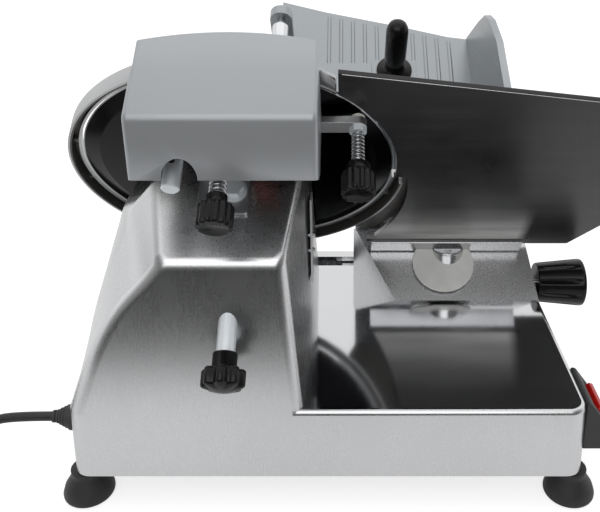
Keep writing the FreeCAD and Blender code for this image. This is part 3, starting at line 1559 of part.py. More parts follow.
def build_nodes():
    add("base_casting", make_base_casting())
    add("bottom_plate", make_bottom_plate())
    add("suction_feet", *[make_foot(x, y) for x, y in foot_places])
    add("ring_guard", make_ring_guard())
    add("ring_screws", *make_ring_screws())
    add("knife_cover", make_knife_cover())
    add("spindle_housing", make_spindle_housing())
    add("spindle_bearings", *make_bearings())
    add("rod_sleeve", make_rod_sleeve())
    add("motor_housing", make_motor_housing())
    add("motor_mount", make_motor_mount())
    add("motor_capacitor", make_capacitor())
    add("drive_belt", make_drive_belt())
    add("sharpener_bracket", make_sharpener_bracket())
    add("bracket_bolt", make_bracket_bolt())
    add("sharpener_post", make_sharpener_post())
    add("post_set_screw", make_post_set_screw())
    add("sharpener_body", make_sharpener_body())
    grinding_end = grinding_knob_back + spring_pocket - wheel_travel - seat_gap
    add("grinding_spring", make_spring(body_front + seat_gap, grinding_end, grinding_spring_radius,
                                       grinding_spring_curls, wheel_across, wheel_up))
    add("honing_nut", make_honing_nut())
    honing_end = hone_knob_back + spring_pocket - hone_travel - seat_gap
    add("honing_spring", make_spring(hone_nut_front + seat_gap, honing_end, honing_spring_radius,
                                     honing_spring_curls, hone_across, hone_up))
    add("side_shield", make_side_shield())
    add("shield_screws", *make_shield_screws())
    add("gauge_rod", make_gauge_rod())
    add("switch_housing", make_switch_housing())
    add("cord_gland", make_cord_gland())
    add("power_cord_run", make_cord_run())
    add("power_cord_coil", make_cord_coil())
    add("power_plug", make_plug())
    add("carriage_bar", make_carriage_bar())
    add("knife", make_knife())
    add("knife_screws", *make_knife_screws())
    add("knife_pulley", make_knife_pulley())
    add("motor_rotor", make_motor_rotor(), make_motor_fan())
    add("motor_pulley", make_motor_pulley())
    add("star_knob", make_star_knob())
    add("tie_rod", make_tie_rod())
    add("gauge_plate", make_gauge_plate())
    add("gauge_support_bar", make_gauge_bar())
    add("gauge_arm", make_gauge_arm())
    add("gauge_disc", make_gauge_disc())
    add("index_dial", make_dial())
    add("dial_shaft", make_dial_shaft())
    add("carriage_block", make_carriage_block())
    add("carriage_bushes", *make_carriage_bushes())
    add("tray_arm", make_tray_arm())
    add("food_tray", make_food_tray())
    add("pusher_rod", make_pusher_rod())
    add("tray_lock_knob", make_lock_knob())
    add("pusher_sleeve", make_pusher_sleeve())
    add("pusher_arm", make_pusher_arm())
    add("pusher_handle", make_pusher_handle())
    add("sharpener_hood", make_sharpener_hood())
    add("grinding_stud", make_grinding_stud())
    add("grinding_wheel", make_grinding_wheel())
    add("grinding_knob", make_grinding_knob())
    add("honing_stud", make_honing_stud())
    add("honing_stone", make_honing_stone())
    add("honing_knob", make_honing_knob())
    add("switch_rocker", make_switch_rocker())


def export_nodes():
    os.makedirs("parts", exist_ok=True)
    shift = V(-origin_x, -origin_y, 0)
    for name, solids in nodes.items():
        placed = []
        for solid in solids:
            moved = solid.copy()
            moved.translate(shift)
            placed += moved.Solids
        shape = placed[0] if len(placed) == 1 else Part.makeCompound(placed)
        shape.exportStep("parts/" + name + ".step")


build_nodes()
export_nodes()
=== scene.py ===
"""Looks for a gravity-feed meat slicer: casting, tilted knife, hooded sharpener, gauge plate and tray.

Shapes are drawn in millimetres. Base pieces use the floor drawing, with x to the operator's right and y
away from the operator. Pieces round the knife use the knife drawing: across, up in the knife's plane, and
out towards the slice side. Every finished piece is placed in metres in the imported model's frame.
"""
import json
import math

import bmesh
import bpy
from mathutils import Matrix, Vector


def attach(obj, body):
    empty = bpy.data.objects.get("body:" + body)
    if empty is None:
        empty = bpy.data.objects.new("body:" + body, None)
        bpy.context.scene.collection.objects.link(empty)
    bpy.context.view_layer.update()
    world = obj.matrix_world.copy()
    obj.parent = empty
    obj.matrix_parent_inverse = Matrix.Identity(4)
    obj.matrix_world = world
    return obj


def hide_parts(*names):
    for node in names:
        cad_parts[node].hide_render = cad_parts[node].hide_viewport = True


bl_info = {
    "name": "Meat Slicer Pieces",
    "version": (1, 0, 0),
    "blender": (4, 5, 0),
    "location": "3D View > Sidebar > Slicer",
    "description": "Builds the pieces and finishes of a gravity-feed meat slicer round its packed model",
    "category": "Object",
}

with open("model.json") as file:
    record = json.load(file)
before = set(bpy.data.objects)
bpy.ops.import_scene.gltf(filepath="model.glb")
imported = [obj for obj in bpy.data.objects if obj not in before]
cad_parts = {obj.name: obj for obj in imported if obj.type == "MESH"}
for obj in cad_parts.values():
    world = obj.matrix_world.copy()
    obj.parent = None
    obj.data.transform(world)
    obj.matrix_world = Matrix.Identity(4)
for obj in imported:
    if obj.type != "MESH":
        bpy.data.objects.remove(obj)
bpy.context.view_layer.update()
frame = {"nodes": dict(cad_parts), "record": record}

MILLIMETRE = 0.001
DRAWING_ORIGIN = Vector((26.1, 166.7, 0.0))
KNIFE_CENTRE = (-72.8, 109.4, 241.6)
KNIFE_LEAN = math.radians(38.0)
# Places that several pieces share, in millimetres: y and z of the dial's shaft and of the cord's gland on
# the floor drawing, and across and up of the sharpener's two stones on the knife drawing
DIAL_Y, DIAL_Z = 180.0, 91.1
GLAND_Y, GLAND_Z = 15.0, 62.0
GRIND_SPOT = (1.5, 94.8)
HONE_SPOT = (95.5, 75.0)


def floor_place():
    """The floor drawing's place: millimetres to metres, and its origin moved under the slicer."""
    return Matrix.Scale(MILLIMETRE, 4) @ Matrix.Translation(-DRAWING_ORIGIN)


def knife_place():
    """The knife drawing's place: across, up and out become the columns of its turn."""
    sin, cos = math.sin(KNIFE_LEAN), math.cos(KNIFE_LEAN)
    turn = Matrix(((1, 0, 0), (0, -sin, -cos), (0, cos, -sin))).to_4x4()
    return floor_place() @ Matrix.Translation(KNIFE_CENTRE) @ turn


def knife_at(across, up, out=0.0):
    """The knife drawing's place, shifted to a centre of its own."""
    return knife_place() @ Matrix.Translation((across, up, out))


def floor_at(x, y, z):
    """The floor drawing's place, shifted to a centre of its own."""
    return floor_place() @ Matrix.Translation((x, y, z))


def sideways_at(x, y, z):
    """A place whose own z axis points to the operator's right."""
    return floor_at(x, y, z) @ Matrix.Rotation(math.radians(90), 4, "Y")


# Sizes and colours that a user would change


class SlicerCastingSettings(bpy.types.PropertyGroup):
    colour: bpy.props.FloatVectorProperty(
        name="Casting colour", description="Colour of the polished aluminium", subtype="COLOR",
        size=3, min=0.0, max=1.0, default=(0.68, 0.685, 0.695))
    deck_gloss: bpy.props.FloatProperty(
        name="Deck roughness", description="Roughness of the mirror-polished deck", min=0.02, max=0.6,
        default=0.08)
    wall_gloss: bpy.props.FloatProperty(
        name="Wall roughness", description="Roughness of the brushed front and pedestal", min=0.05, max=0.8,
        default=0.27)
    edge: bpy.props.FloatProperty(
        name="Edge rounding", description="Rounding of the casting's outer edges, in millimetres", min=0.5,
        max=8.0, default=4.0)
    corner: bpy.props.FloatProperty(
        name="Corner rounding", description="Rounding of the base's upright corners, in millimetres",
        min=2.0, max=30.0, default=14.0)
    crease: bpy.props.FloatProperty(
        name="Neck rim easing", description="How far the neck's rim is eased to each side, in millimetres",
        min=1.0, max=12.0, default=6.0)


class SlicerHoodSettings(bpy.types.PropertyGroup):
    colour: bpy.props.FloatVectorProperty(
        name="Hood colour", description="Colour of the satin grey hood", subtype="COLOR", size=3, min=0.0,
        max=1.0, default=(0.37, 0.385, 0.40))
    fold: bpy.props.FloatProperty(
        name="Front fold", description="Radius of the fold along the hood's top, in millimetres", min=1.0,
        max=20.0, default=9.0)
    side_fold: bpy.props.FloatProperty(
        name="Side fold", description="Radius of the folds down the hood's sides, in millimetres", min=0.5,
        max=8.0, default=4.0)
    wall: bpy.props.FloatProperty(
        name="Wall", description="Thickness of the hood's sheet, in millimetres", min=0.5, max=4.0,
        default=1.5)


class SlicerKnobSettings(bpy.types.PropertyGroup):
    colour: bpy.props.FloatVectorProperty(
        name="Plastic colour", description="Colour of the knobs, dial and handle", subtype="COLOR", size=3,
        min=0.0, max=1.0, default=(0.006, 0.006, 0.0065))
    flutes: bpy.props.IntProperty(
        name="Flutes", description="Number of flutes round each push knob", min=6, max=30, default=14)
    flute_depth: bpy.props.FloatProperty(
        name="Flute depth", description="Depth of the flutes, in millimetres", min=0.2, max=3.0,
        default=1.3)
    lobes: bpy.props.IntProperty(
        name="Star lobes", description="Number of lobes round the star knob", min=5, max=12, default=8)
    grooves: bpy.props.IntProperty(
        name="Dial grooves", description="Number of grooves round the index dial", min=4, max=16, default=9)


class SlicerKnifeSettings(bpy.types.PropertyGroup):
    radius: bpy.props.FloatProperty(
        name="Knife radius", description="Radius of the round knife, in millimetres", min=60.0, max=125.0,
        default=125.0)
    bevel: bpy.props.FloatProperty(
        name="Bevel width", description="Width of the ground edge, in millimetres", min=3.0, max=20.0,
        default=13.0)
    colour: bpy.props.FloatVectorProperty(
        name="Knife colour", description="Colour of the knife's polished face", subtype="COLOR", size=3,
        min=0.0, max=1.0, default=(0.006, 0.006, 0.007))


class SlicerCordSettings(bpy.types.PropertyGroup):
    diameter: bpy.props.FloatProperty(
        name="Cord diameter", description="Diameter of the power cord", min=0.004, max=0.012,
        default=0.0075, unit="LENGTH")
    length: bpy.props.FloatProperty(
        name="Cord length", description="Real length of the power cord", min=1.0, max=2.5, default=1.5,
        unit="LENGTH")


class SlicerStageSettings(bpy.types.PropertyGroup):
    floor_colour: bpy.props.FloatVectorProperty(
        name="Floor colour", description="Colour of the pale floor", subtype="COLOR", size=3, min=0.0,
        max=1.0, default=(0.92, 0.92, 0.92))
    key_power: bpy.props.FloatProperty(
        name="Key light", description="Power of the large overhead light", min=0.0, max=100.0, default=5.0,
        unit="POWER")
    front_power: bpy.props.FloatProperty(
        name="Front light", description="Power of the light above the camera", min=0.0, max=100.0,
        default=11.0, unit="POWER")


SETTINGS = {
    "slicer_casting": SlicerCastingSettings,
    "slicer_hood": SlicerHoodSettings,
    "slicer_knobs": SlicerKnobSettings,
    "slicer_knife": SlicerKnifeSettings,
    "slicer_cord": SlicerCordSettings,
    "slicer_stage": SlicerStageSettings,
}


# Shaping


def turn_profile(bm, profile, steps=72, closed=False, matrix=Matrix.Identity(4)):
    """Spins an outline of (radius, height) pairs a full turn about its own z axis."""
    verts = [bm.verts.new((radius, 0, height)) for radius, height in profile]
    edges = [bm.edges.new(pair) for pair in zip(verts, verts[1:])]
    if closed:
        edges.append(bm.edges.new((verts[-1], verts[0])))
    before = set(bm.verts)
    bmesh.ops.spin(bm, geom=verts + edges, cent=(0, 0, 0), axis=(0, 0, 1), angle=2 * math.pi, steps=steps,
                   use_merge=True)
    made = verts + [v for v in bm.verts if v not in before]
    made = [v for v in made if v.is_valid]
    bmesh.ops.remove_doubles(bm, verts=made, dist=1e-4)
    made = [v for v in made if v.is_valid]
    bmesh.ops.transform(bm, matrix=matrix, verts=made)
    return made


def round_edges(bm, edges, width, segments=2):
    """Rounds the edges that it is given."""
    bmesh.ops.bevel(bm, geom=edges, offset=width, offset_type="OFFSET", segments=segments, profile=0.5,
                    affect="EDGES", clamp_overlap=True, material=-1)


def sharp_edges(bm, angle):
    """The edges whose two faces turn by more than an angle."""
    return [e for e in bm.edges if len(e.link_faces) == 2 and e.calc_face_angle() > math.radians(angle)]


def ease_edges(bm, width, angle=35.0, segments=3):
    """Rounds every sharp edge."""
    round_edges(bm, sharp_edges(bm, angle), width, segments)


def edges_in(parts):
    """The edges among what an operator gives back."""
    return [part for part in parts if isinstance(part, bmesh.types.BMEdge)]


def verts_in(parts):
    """The vertices among what an operator gives back."""
    return [part for part in parts if isinstance(part, bmesh.types.BMVert)]


def edges_among(bm, verts):
    """The edges whose two ends are both among some vertices."""
    return [e for e in bm.edges if e.verts[0] in verts and e.verts[1] in verts]


def open_edges(bm):
    """The edges of only one face."""
    return [e for e in bm.edges if len(e.link_faces) == 1]


def cut_flat(bm, parts, spot, way):
    """Cuts off what lies past a plane and closes the cut."""
    cut = bmesh.ops.bisect_plane(bm, geom=parts, dist=1e-4, plane_co=spot, plane_no=way, clear_outer=True)
    bmesh.ops.contextual_create(bm, geom=edges_in(cut["geom_cut"]))


def everything(bm):
    """All of a shape's vertices, edges and faces."""
    return bm.verts[:] + bm.edges[:] + bm.faces[:]


def block(bm, low, high, matrix=Matrix.Identity(4)):
    """A rectangular block between two corners."""
    low, high = Vector(low), Vector(high)
    made = bmesh.ops.create_cube(bm, size=1.0)["verts"]
    size = high - low
    bmesh.ops.scale(bm, vec=size, verts=made)
    bmesh.ops.translate(bm, vec=(low + high) / 2, verts=made)
    bmesh.ops.transform(bm, matrix=matrix, verts=made)
    return made


def push_outline(bm, points, push):
    """A flat outline pushed along a direction to a closed solid."""
    verts = [bm.verts.new(point) for point in points]
    face = bm.faces.new(verts)
    moved = verts_in(bmesh.ops.extrude_face_region(bm, geom=[face], use_keep_orig=True)["geom"])
    bmesh.ops.translate(bm, vec=push, verts=moved)
    return verts + moved


def flute(verts, low, high, count, depth, sharpness=1.0):
    """Draws the surface in between the ribs of a grip, fading out at both ends of its length."""
    for vert in verts:
        if low <= vert.co.z <= high and vert.co.xy.length > 1e-6:
            turn = math.atan2(vert.co.y, vert.co.x)
            wave = (0.5 - 0.5 * math.cos(count * turn)) ** sharpness
            radius = vert.co.xy.length
            factor = max(radius - depth * wave, 0.1) / radius
            vert.co.x *= factor
            vert.co.y *= factor


def link_object(name, data):
    """A new object in the scene."""
    piece = bpy.data.objects.new(name, data)
    bpy.context.scene.collection.objects.link(piece)
    return piece


def make_mesh_object(name, bm, place):
    """Puts a finished bmesh into the scene in metres."""
    bmesh.ops.remove_doubles(bm, verts=bm.verts, dist=1e-4)
    bmesh.ops.recalc_face_normals(bm, faces=bm.faces)
    bm.transform(place)
    mesh = bpy.data.meshes.new(name)
    bm.to_mesh(mesh)
    bm.free()
    return link_object(name, mesh)


def finish_piece(piece, finish, body, stands_for=(), smooth=38.0):
    """Gives a piece its finish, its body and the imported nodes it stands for."""
    piece.data.materials.clear()
    piece.data.materials.append(finish)
    piece.data.shade_smooth()
    piece.data.set_sharp_from_angle(angle=math.radians(smooth))
    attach(piece, body)
    if stands_for:
        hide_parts(*stands_for)
    return piece


def make_piece(name, bm, place, finish, body, stands_for=(), smooth=38.0):
    """A piece from its bmesh: placed, finished and riding on its body."""
    return finish_piece(make_mesh_object(name, bm, place), finish, body, stands_for, smooth)


def carve(piece, bm, place, operation="DIFFERENCE"):
    """Cuts a piece with a shape, or joins the two."""
    tool = make_mesh_object("cutter", bm, place)
    modifier = piece.modifiers.new("carve", "BOOLEAN")
    modifier.operation = operation
    modifier.solver = "EXACT"
    modifier.object = tool
    bake_modifiers(piece)
    bpy.data.objects.remove(tool)


def bake_modifiers(piece):
    """Writes a piece's modifiers into its mesh."""
    graph = bpy.context.evaluated_depsgraph_get()
    graph.update()
    mesh = bpy.data.meshes.new_from_object(piece.evaluated_get(graph))
    piece.modifiers.clear()
    piece.data = mesh


def even_normals(piece):
    """Keeps broad faces flat to the light, so that only the rounded edges beside them turn."""
    modifier = piece.modifiers.new("normals", "WEIGHTED_NORMAL")
    modifier.keep_sharp = True
    modifier.weight = 100
    bake_modifiers(piece)
    return piece


# Finishes


def start_finish(name):
    """A new material with its shader and the piece's own coordinates."""
    material = bpy.data.materials.new(name)
    material.use_nodes = True
    shader = material.node_tree.nodes["Principled BSDF"]
    return material, shader, wire(material, "TexCoord", {}, "Object")


def put(material, node, inputs):
    """Sets a node's inputs, or links them to the outputs that they are given."""
    for key, value in inputs.items():
        if isinstance(value, bpy.types.NodeSocket):
            material.node_tree.links.new(value, node.inputs[key])
        else:
            node.inputs[key].default_value = value


def wire(material, kind, inputs, output, **options):
    """Adds a shader node, with its options and inputs, and hands back one of its outputs."""
    node = material.node_tree.nodes.new("ShaderNode" + kind)
    for option, value in options.items():
        setattr(node, option, value)
    put(material, node, inputs)
    return node.outputs[output]


def mapped(material, source, scale):
    """Coordinates stretched along each axis."""
    return wire(material, "Mapping", {"Vector": source, "Scale": scale}, "Vector")


def noise(material, vector, scale, detail=3.0, rough=0.55):
    """A cloudy pattern from 0 to 1."""
    inputs = {"Vector": vector, "Scale": scale, "Detail": detail, "Roughness": rough}
    return wire(material, "TexNoise", inputs, "Fac")


def spread(material, value, low_in, high_in, low_out, high_out):
    """A value carried from one range to another."""
    inputs = {"Value": value, "From Min": low_in, "From Max": high_in, "To Min": low_out, "To Max": high_out}
    return wire(material, "MapRange", inputs, "Result")


def combine(material, operation, first, second):
    """One sum of two values, such as ADD, MULTIPLY or MAXIMUM."""
    return wire(material, "Math", {0: first, 1: second}, "Value", operation=operation)


def product(material, first, *others):
    """Several values multiplied together."""
    for other in others:
        first = combine(material, "MULTIPLY", first, other)
    return first


def dot(material, vector, way):
    """How far a point lies along a direction."""
    return wire(material, "VectorMath", {0: vector, 1: way}, "Value", operation="DOT_PRODUCT")


def part_of(material, vector, axis):
    """One axis of a vector."""
    return wire(material, "SeparateXYZ", {"Vector": vector}, axis)


def bumped(material, shader, height, strength, distance=0.2 * MILLIMETRE):
    """Tilts the surface by a pattern's height."""
    bump = wire(material, "Bump", {"Height": height, "Strength": strength, "Distance": distance}, "Normal")
    put(material, shader, {"Normal": bump})


def tinted(material, shader, value, dark, light):
    """Drives the base colour between two tones."""
    tones = {"Factor": value, "A": (*dark, 1.0), "B": (*light, 1.0)}
    put(material, shader, {"Base Color": wire(material, "Mix", tones, "Result", data_type="RGBA")})


def shade(colour, factor):
    """A colour made lighter or darker."""
    return tuple(max(0.0, min(1.0, c * factor)) for c in colour)


def brushed_metal(name, colour, rough, along=None, metallic=1.0, depth=0.06, variation=0.08, lines=900.0):
    """Metal with fine lines along one axis, or a fine grain, and soft patches of wear."""
    material, shader, place = start_finish(name)
    scale = [lines, lines, lines]
    if along is not None:
        scale["xyz".index(along)] = lines / 90.0
    fine = noise(material, mapped(material, place, scale), 1.0, 2.0)
    patches = noise(material, place, 14.0, 4.0)
    streaks = spread(material, fine, 0.3, 0.7, rough - variation * 0.5, rough + variation * 0.5)
    wear = spread(material, patches, 0.35, 0.7, -variation * 0.5, variation * 0.6)
    tinted(material, shader, patches, shade(colour, 0.93), shade(colour, 1.05))
    put(material, shader, {"Roughness": combine(material, "ADD", streaks, wear), "Metallic": metallic})
    bumped(material, shader, fine, depth)
    return material


def casting_finish(name, settings):
    """Polished casting: a mirror deck, and walls brushed level with the floor."""
    material, shader, place = start_finish(name)
    fine = noise(material, mapped(material, place, (700, 700, 12)), 1.0, 2.0)
    scratches = noise(material, mapped(material, place, (40, 120, 7)), 1.0, 4.0, 0.6)
    patches = noise(material, place, 9.0, 5.0)
    facing = wire(material, "NewGeometry", {}, "Normal")
    level = spread(material, part_of(material, facing, "Z"), 0.93, 0.99, 0.0, 1.0)
    low = spread(material, part_of(material, place, "Z"), 0.087, 0.089, 1.0, 0.0)
    wall = combine(material, "ADD",
                   spread(material, fine, 0.3, 0.7, settings.wall_gloss - 0.01, settings.wall_gloss + 0.015),
                   spread(material, scratches, 0.45, 0.75, 0.0, 0.02))
    mirror = combine(material, "ADD",
                     spread(material, fine, 0.3, 0.7, settings.deck_gloss - 0.01, settings.deck_gloss + 0.02),
                     spread(material, patches, 0.4, 0.75, 0.0, 0.05))
    rough = wire(material, "Mix", {"Factor": product(material, level, low), "A": wall, "B": mirror}, "Result")
    tinted(material, shader, patches, shade(settings.colour, 0.92), shade(settings.colour, 1.05))
    put(material, shader, {"Roughness": rough, "Metallic": 1.0})
    height = combine(material, "ADD", fine, product(material, scratches, 0.6))
    bumped(material, shader, height, 0.001, 0.3 * MILLIMETRE)
    return material


def satin_sheet(name, colour, rough=0.36, grain=2600.0):
    """Fine blasted and anodised sheet."""
    material, shader, place = start_finish(name)
    speck = noise(material, place, grain, 2.0)
    patches = noise(material, place, 6.0, 3.0)
    tinted(material, shader, speck, shade(colour, 0.95), shade(colour, 1.06))
    put(material, shader, {"Roughness": spread(material, patches, 0.3, 0.7, rough - 0.03, rough + 0.04),
                           "Metallic": 0.5})
    bumped(material, shader, speck, 0.05)
    return material


def turned_finish(name, colour, rough, pitch, rim_start=None, rim_colour=None):
    """Metal turned or ground in rings round the knife's axis, with an optional bright ground rim."""
    material, shader, place = start_finish(name)
    centred = {0: place, 1: tuple(knife_place().translation)}
    centred = wire(material, "VectorMath", centred, "Vector", operation="SUBTRACT")
    level = {"Vector": centred, "Angle": math.radians(-90) - KNIFE_LEAN}
    level = wire(material, "VectorRotate", level, "Vector", rotation_type="X_AXIS")
    flat = wire(material, "VectorMath", {0: level, 1: (1, 1, 0)}, "Vector", operation="MULTIPLY")
    radius = wire(material, "VectorMath", {0: flat}, "Value", operation="LENGTH")
    rings = noise(material, wire(material, "CombineXYZ", {"X": radius}, "Vector"), pitch, 3.0)
    smear = noise(material, place, 18.0, 4.0)
    wear_and_sheen = combine(material, "ADD", spread(material, rings, 0.3, 0.7, rough - 0.03, rough + 0.06),
                   spread(material, smear, 0.4, 0.75, 0.0, 0.05))
    if rim_start:
        rim = spread(material, radius, rim_start, rim_start + 0.3 * MILLIMETRE, 0.0, 1.0)
        tinted(material, shader, rim, colour, rim_colour)
    else:
        tinted(material, shader, rings, shade(colour, 0.92), shade(colour, 1.06))
    put(material, shader, {"Roughness": wear_and_sheen, "Metallic": 1.0})
    bumped(material, shader, rings, 0.05)
    return material


def moulded_plastic(name, colour, rough=0.34, grain=1500.0, depth=0.04, coat=0.1, gloss=0.3):
    """Moulded plastic with a faint orange-peel texture."""
    material, shader, place = start_finish(name)
    peel = noise(material, place, grain, 2.0)
    patches = noise(material, place, 60.0, 3.0)
    tinted(material, shader, patches, shade(colour, 0.85), shade(colour, 1.2))
    put(material, shader, {"Roughness": spread(material, patches, 0.3, 0.7, rough - 0.05, rough + 0.08),
                           "Specular IOR Level": gloss, "Coat Weight": coat, "Coat Roughness": 0.15})
    bumped(material, shader, peel, depth)
    return material


# The gauge plate's painted reflection along its foot, in metres: how far up the plate, from the knife's
# centre, the painted band ends, fades and starts above the ledge, and how far across it fades out
REFLECTION_LOW, REFLECTION_HIGH = -0.130, -0.066
LEDGE_LOW, LEDGE_HIGH = -0.1264, -0.1258
REFLECTION_RIGHT, REFLECTION_END_RIGHT = 0.252, 0.262


def coated_plate(name):
    """Black low-friction coating with faint long rubs, and a painted reflection of the lit ramp: a light band
    just above its bar.
    """
    material, shader, place = start_finish(name)
    centre = knife_place().translation
    up_way = Vector((0, -math.sin(KNIFE_LEAN), math.cos(KNIFE_LEAN)))
    up = combine(material, "SUBTRACT", dot(material, place, up_way), centre.dot(up_way))
    across = combine(material, "SUBTRACT", dot(material, place, (1, 0, 0)), centre.x)
    line = {"X": product(material, across, 7.0), "Y": product(material, up, 70.0)}
    marks = noise(material, wire(material, "CombineXYZ", line, "Vector"), 1.0, 5.0, 0.6)
    clouds = noise(material, place, 16.0, 3.0)
    speck = noise(material, place, 1800.0, 2.0)
    # Painted reflection of the lit ramp and bar: a light, slightly metallic band along the plate's foot
    fade = combine(material, "POWER", spread(material, up, REFLECTION_LOW, REFLECTION_HIGH, 1.0, 0.0), 1.5)
    wear_and_sheen = product(material, fade, spread(material, across, REFLECTION_RIGHT, REFLECTION_END_RIGHT, 1.0, 0.0),
                   spread(material, marks, 0.25, 0.6, 0.55, 1.0),
                   spread(material, up, LEDGE_LOW, LEDGE_HIGH, 0.0, 1.0))
    rubbed = product(material, spread(material, marks, 0.45, 0.85, 0.0, 0.035),
                     spread(material, clouds, 0.4, 0.7, 0.2, 1.0))
    light = combine(material, "ADD", product(material, wear_and_sheen, 0.85), rubbed)
    # The light tone carries the painted reflection and the faint rubs
    tinted(material, shader, light, (0.011, 0.011, 0.012), (0.80, 0.79, 0.78))
    put(material, shader, {"Roughness": spread(material, clouds, 0.3, 0.7, 0.26, 0.36),
                           "Metallic": product(material, wear_and_sheen, 0.25), "IOR": 1.45})
    bumped(material, shader, speck, 0.03)
    return material


def soft_rubber(name, colour, rough=0.62):
    """Dull rubber with a little dust in its patches."""
    material, shader, place = start_finish(name)
    speck = noise(material, place, 900.0, 3.0)
    dust = noise(material, place, 40.0, 4.0)
    tinted(material, shader, dust, colour, shade(colour, 2.0))
    put(material, shader, {"Roughness": spread(material, dust, 0.3, 0.7, rough - 0.06, rough + 0.1)})
    bumped(material, shader, speck, 0.10, 0.3 * MILLIMETRE)
    return material


def abrasive(name, colour):
    """Bonded grit."""
    material, shader, place = start_finish(name)
    grit = noise(material, place, 1600.0, 4.0, 0.8)
    tinted(material, shader, grit, shade(colour, 0.6), shade(colour, 1.35))
    put(material, shader, {"Roughness": spread(material, grit, 0.3, 0.7, 0.75, 0.95)})
    bumped(material, shader, grit, 0.5, 0.5 * MILLIMETRE)
    return material


LIGHT_CAST = (0.50, 0.505, 0.51)
# Each maker is handed its finish's name
FINISH_MAKERS = {
    "polished_casting": lambda name: casting_finish(name, bpy.context.scene.slicer_casting),
    "hood_satin": lambda name: satin_sheet(name, tuple(bpy.context.scene.slicer_hood.colour)),
    "cover_satin": lambda name: satin_sheet(name, (0.58, 0.585, 0.59), 0.32),
    "ring_cast": lambda name: brushed_metal(name, LIGHT_CAST, 0.38, depth=0.05, lines=500.0),
    # Dark metal that paints the shade in the ring's channel and in the gap at the gauge plate's heel
    "ring_painted_shade": lambda name: brushed_metal(name, (0.10, 0.095, 0.09), 0.5, metallic=0.6, depth=0.10,
                                               lines=300.0),
    "zinc_plate": lambda name: brushed_metal(name, (0.78, 0.82, 0.85), 0.34, metallic=0.4, depth=0.03),
    "bright_steel": lambda name: brushed_metal(name, (0.70, 0.71, 0.72), 0.26, depth=0.03, lines=1200.0),
    "spring_steel": lambda name: brushed_metal(name, (0.52, 0.52, 0.53), 0.24, lines=1500.0),
    "bar_steel": lambda name: brushed_metal(name, (0.60, 0.60, 0.61), 0.24, "x"),
    "black_steel": lambda name: brushed_metal(name, (0.09, 0.09, 0.095), 0.42, lines=700.0),
    "bracket_cast": lambda name: brushed_metal(name, LIGHT_CAST, 0.36, depth=0.14, lines=420.0),
    "arm_cast": lambda name: brushed_metal(name, (0.68, 0.685, 0.695), 0.26, "x", depth=0.08),
    "tray_satin": lambda name: brushed_metal(name, (0.36, 0.38, 0.395), 0.36, "y", metallic=0.8, depth=0.03,
                                             lines=600.0),
    "bearing_bronze": lambda name: brushed_metal(name, (0.56, 0.38, 0.18), 0.3),
    "pin_brass": lambda name: brushed_metal(name, (0.72, 0.60, 0.34), 0.22, "y", lines=1500.0),
    "gauge_coating": coated_plate,
    "knob_plastic": lambda name: moulded_plastic(name, tuple(bpy.context.scene.slicer_knobs.colour), 0.24,
                                                 coat=0.08, gloss=0.2),
    "dull_plastic": lambda name: moulded_plastic(name, (0.045, 0.045, 0.047), 0.5, 1200.0, 0.12, 0.0),
    "white_nylon": lambda name: moulded_plastic(name, (0.78, 0.78, 0.755), 0.36, 900.0, 0.04, 0.1),
    "motor_enamel": lambda name: moulded_plastic(name, (0.05, 0.05, 0.055), 0.4, 600.0, 0.08, 0.2),
    "rocker_red": lambda name: moulded_plastic(name, (0.55, 0.012, 0.01), 0.18, 400.0, 0.02, 0.6),
    "foot_rubber": lambda name: soft_rubber(name, (0.012, 0.012, 0.012), 0.5),
    "cord_sheath": lambda name: soft_rubber(name, (0.011, 0.011, 0.012), 0.48),
    "red_abrasive": lambda name: abrasive(name, (0.36, 0.13, 0.10)),
    "pale_abrasive": lambda name: abrasive(name, (0.62, 0.60, 0.55)),
}


def finish_named(name):
    """A finish, made the first time that it is asked for. No finish shares a name with a slot of the
    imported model, because the model's plain materials have those names."""
    return bpy.data.materials.get(name) or FINISH_MAKERS[name](name)


# The casting's driving sizes: on the floor drawing, and for its neck the height up and the face's place out
# on the knife drawing

BASE_LEFT, BASE_RIGHT = -200.0, 200.0
BASE_FRONT, BASE_BACK = -14.0, 262.0
BASE_BOTTOM = 28.0
DECK = 85.0
FRONT_DRAFT = math.radians(6.3)
CASTING_WALL = 5.0
NECK_TOP = 34.0
NECK_FACE = 10.0
CREST = 203.0
BLOCK_TOP = 131.0
BLOCK_FOOT = 155.0
BLOCK_BACK = 219.0
BLOCK_LEFT = 60.7
BLOCK_DRAFT = math.radians(9)
CARRIAGE_SLOT = ((-124, 226, 65), (160, 246, 95))
GAUGE_SLOT = ((97.7, 170.5, 88), (130.7, 211.5, 150))
SPINDLE_SEAT = 17.0
TIE_ROD_BORE = 7.05
DIAL_SHAFT_BORE = 3.1
GLAND_BORE = 6.2
FOOT_X = 193.4
FOOT_FRONT_Y, FOOT_BACK_Y = 0.0, 240.0


# Power cord, strain relief and plug

CORD_ROUTE = (
    (-220, GLAND_Y, GLAND_Z), (-244, GLAND_Y, GLAND_Z), (-268, 13.5, 60), (-288, 9, 48), (-302, 4, 28),
    (-318, 0, 12), (-337, -2, 3.8), (-356.5, -2, 3.8),
)
COIL_CENTRE = Vector((-364.0, 49.0, 3.8))
COIL_OUTER = 51.0
COIL_PITCH = 8.3
COIL_RISE = 8.3
COIL_DIP = 1.0
COIL_LOWER_TURNS = 2.5
COIL_CLIMB_TURNS = 0.5
COIL_TURNS = 5.25
COIL_POINTS_A_TURN = 16
TAIL = 44.0


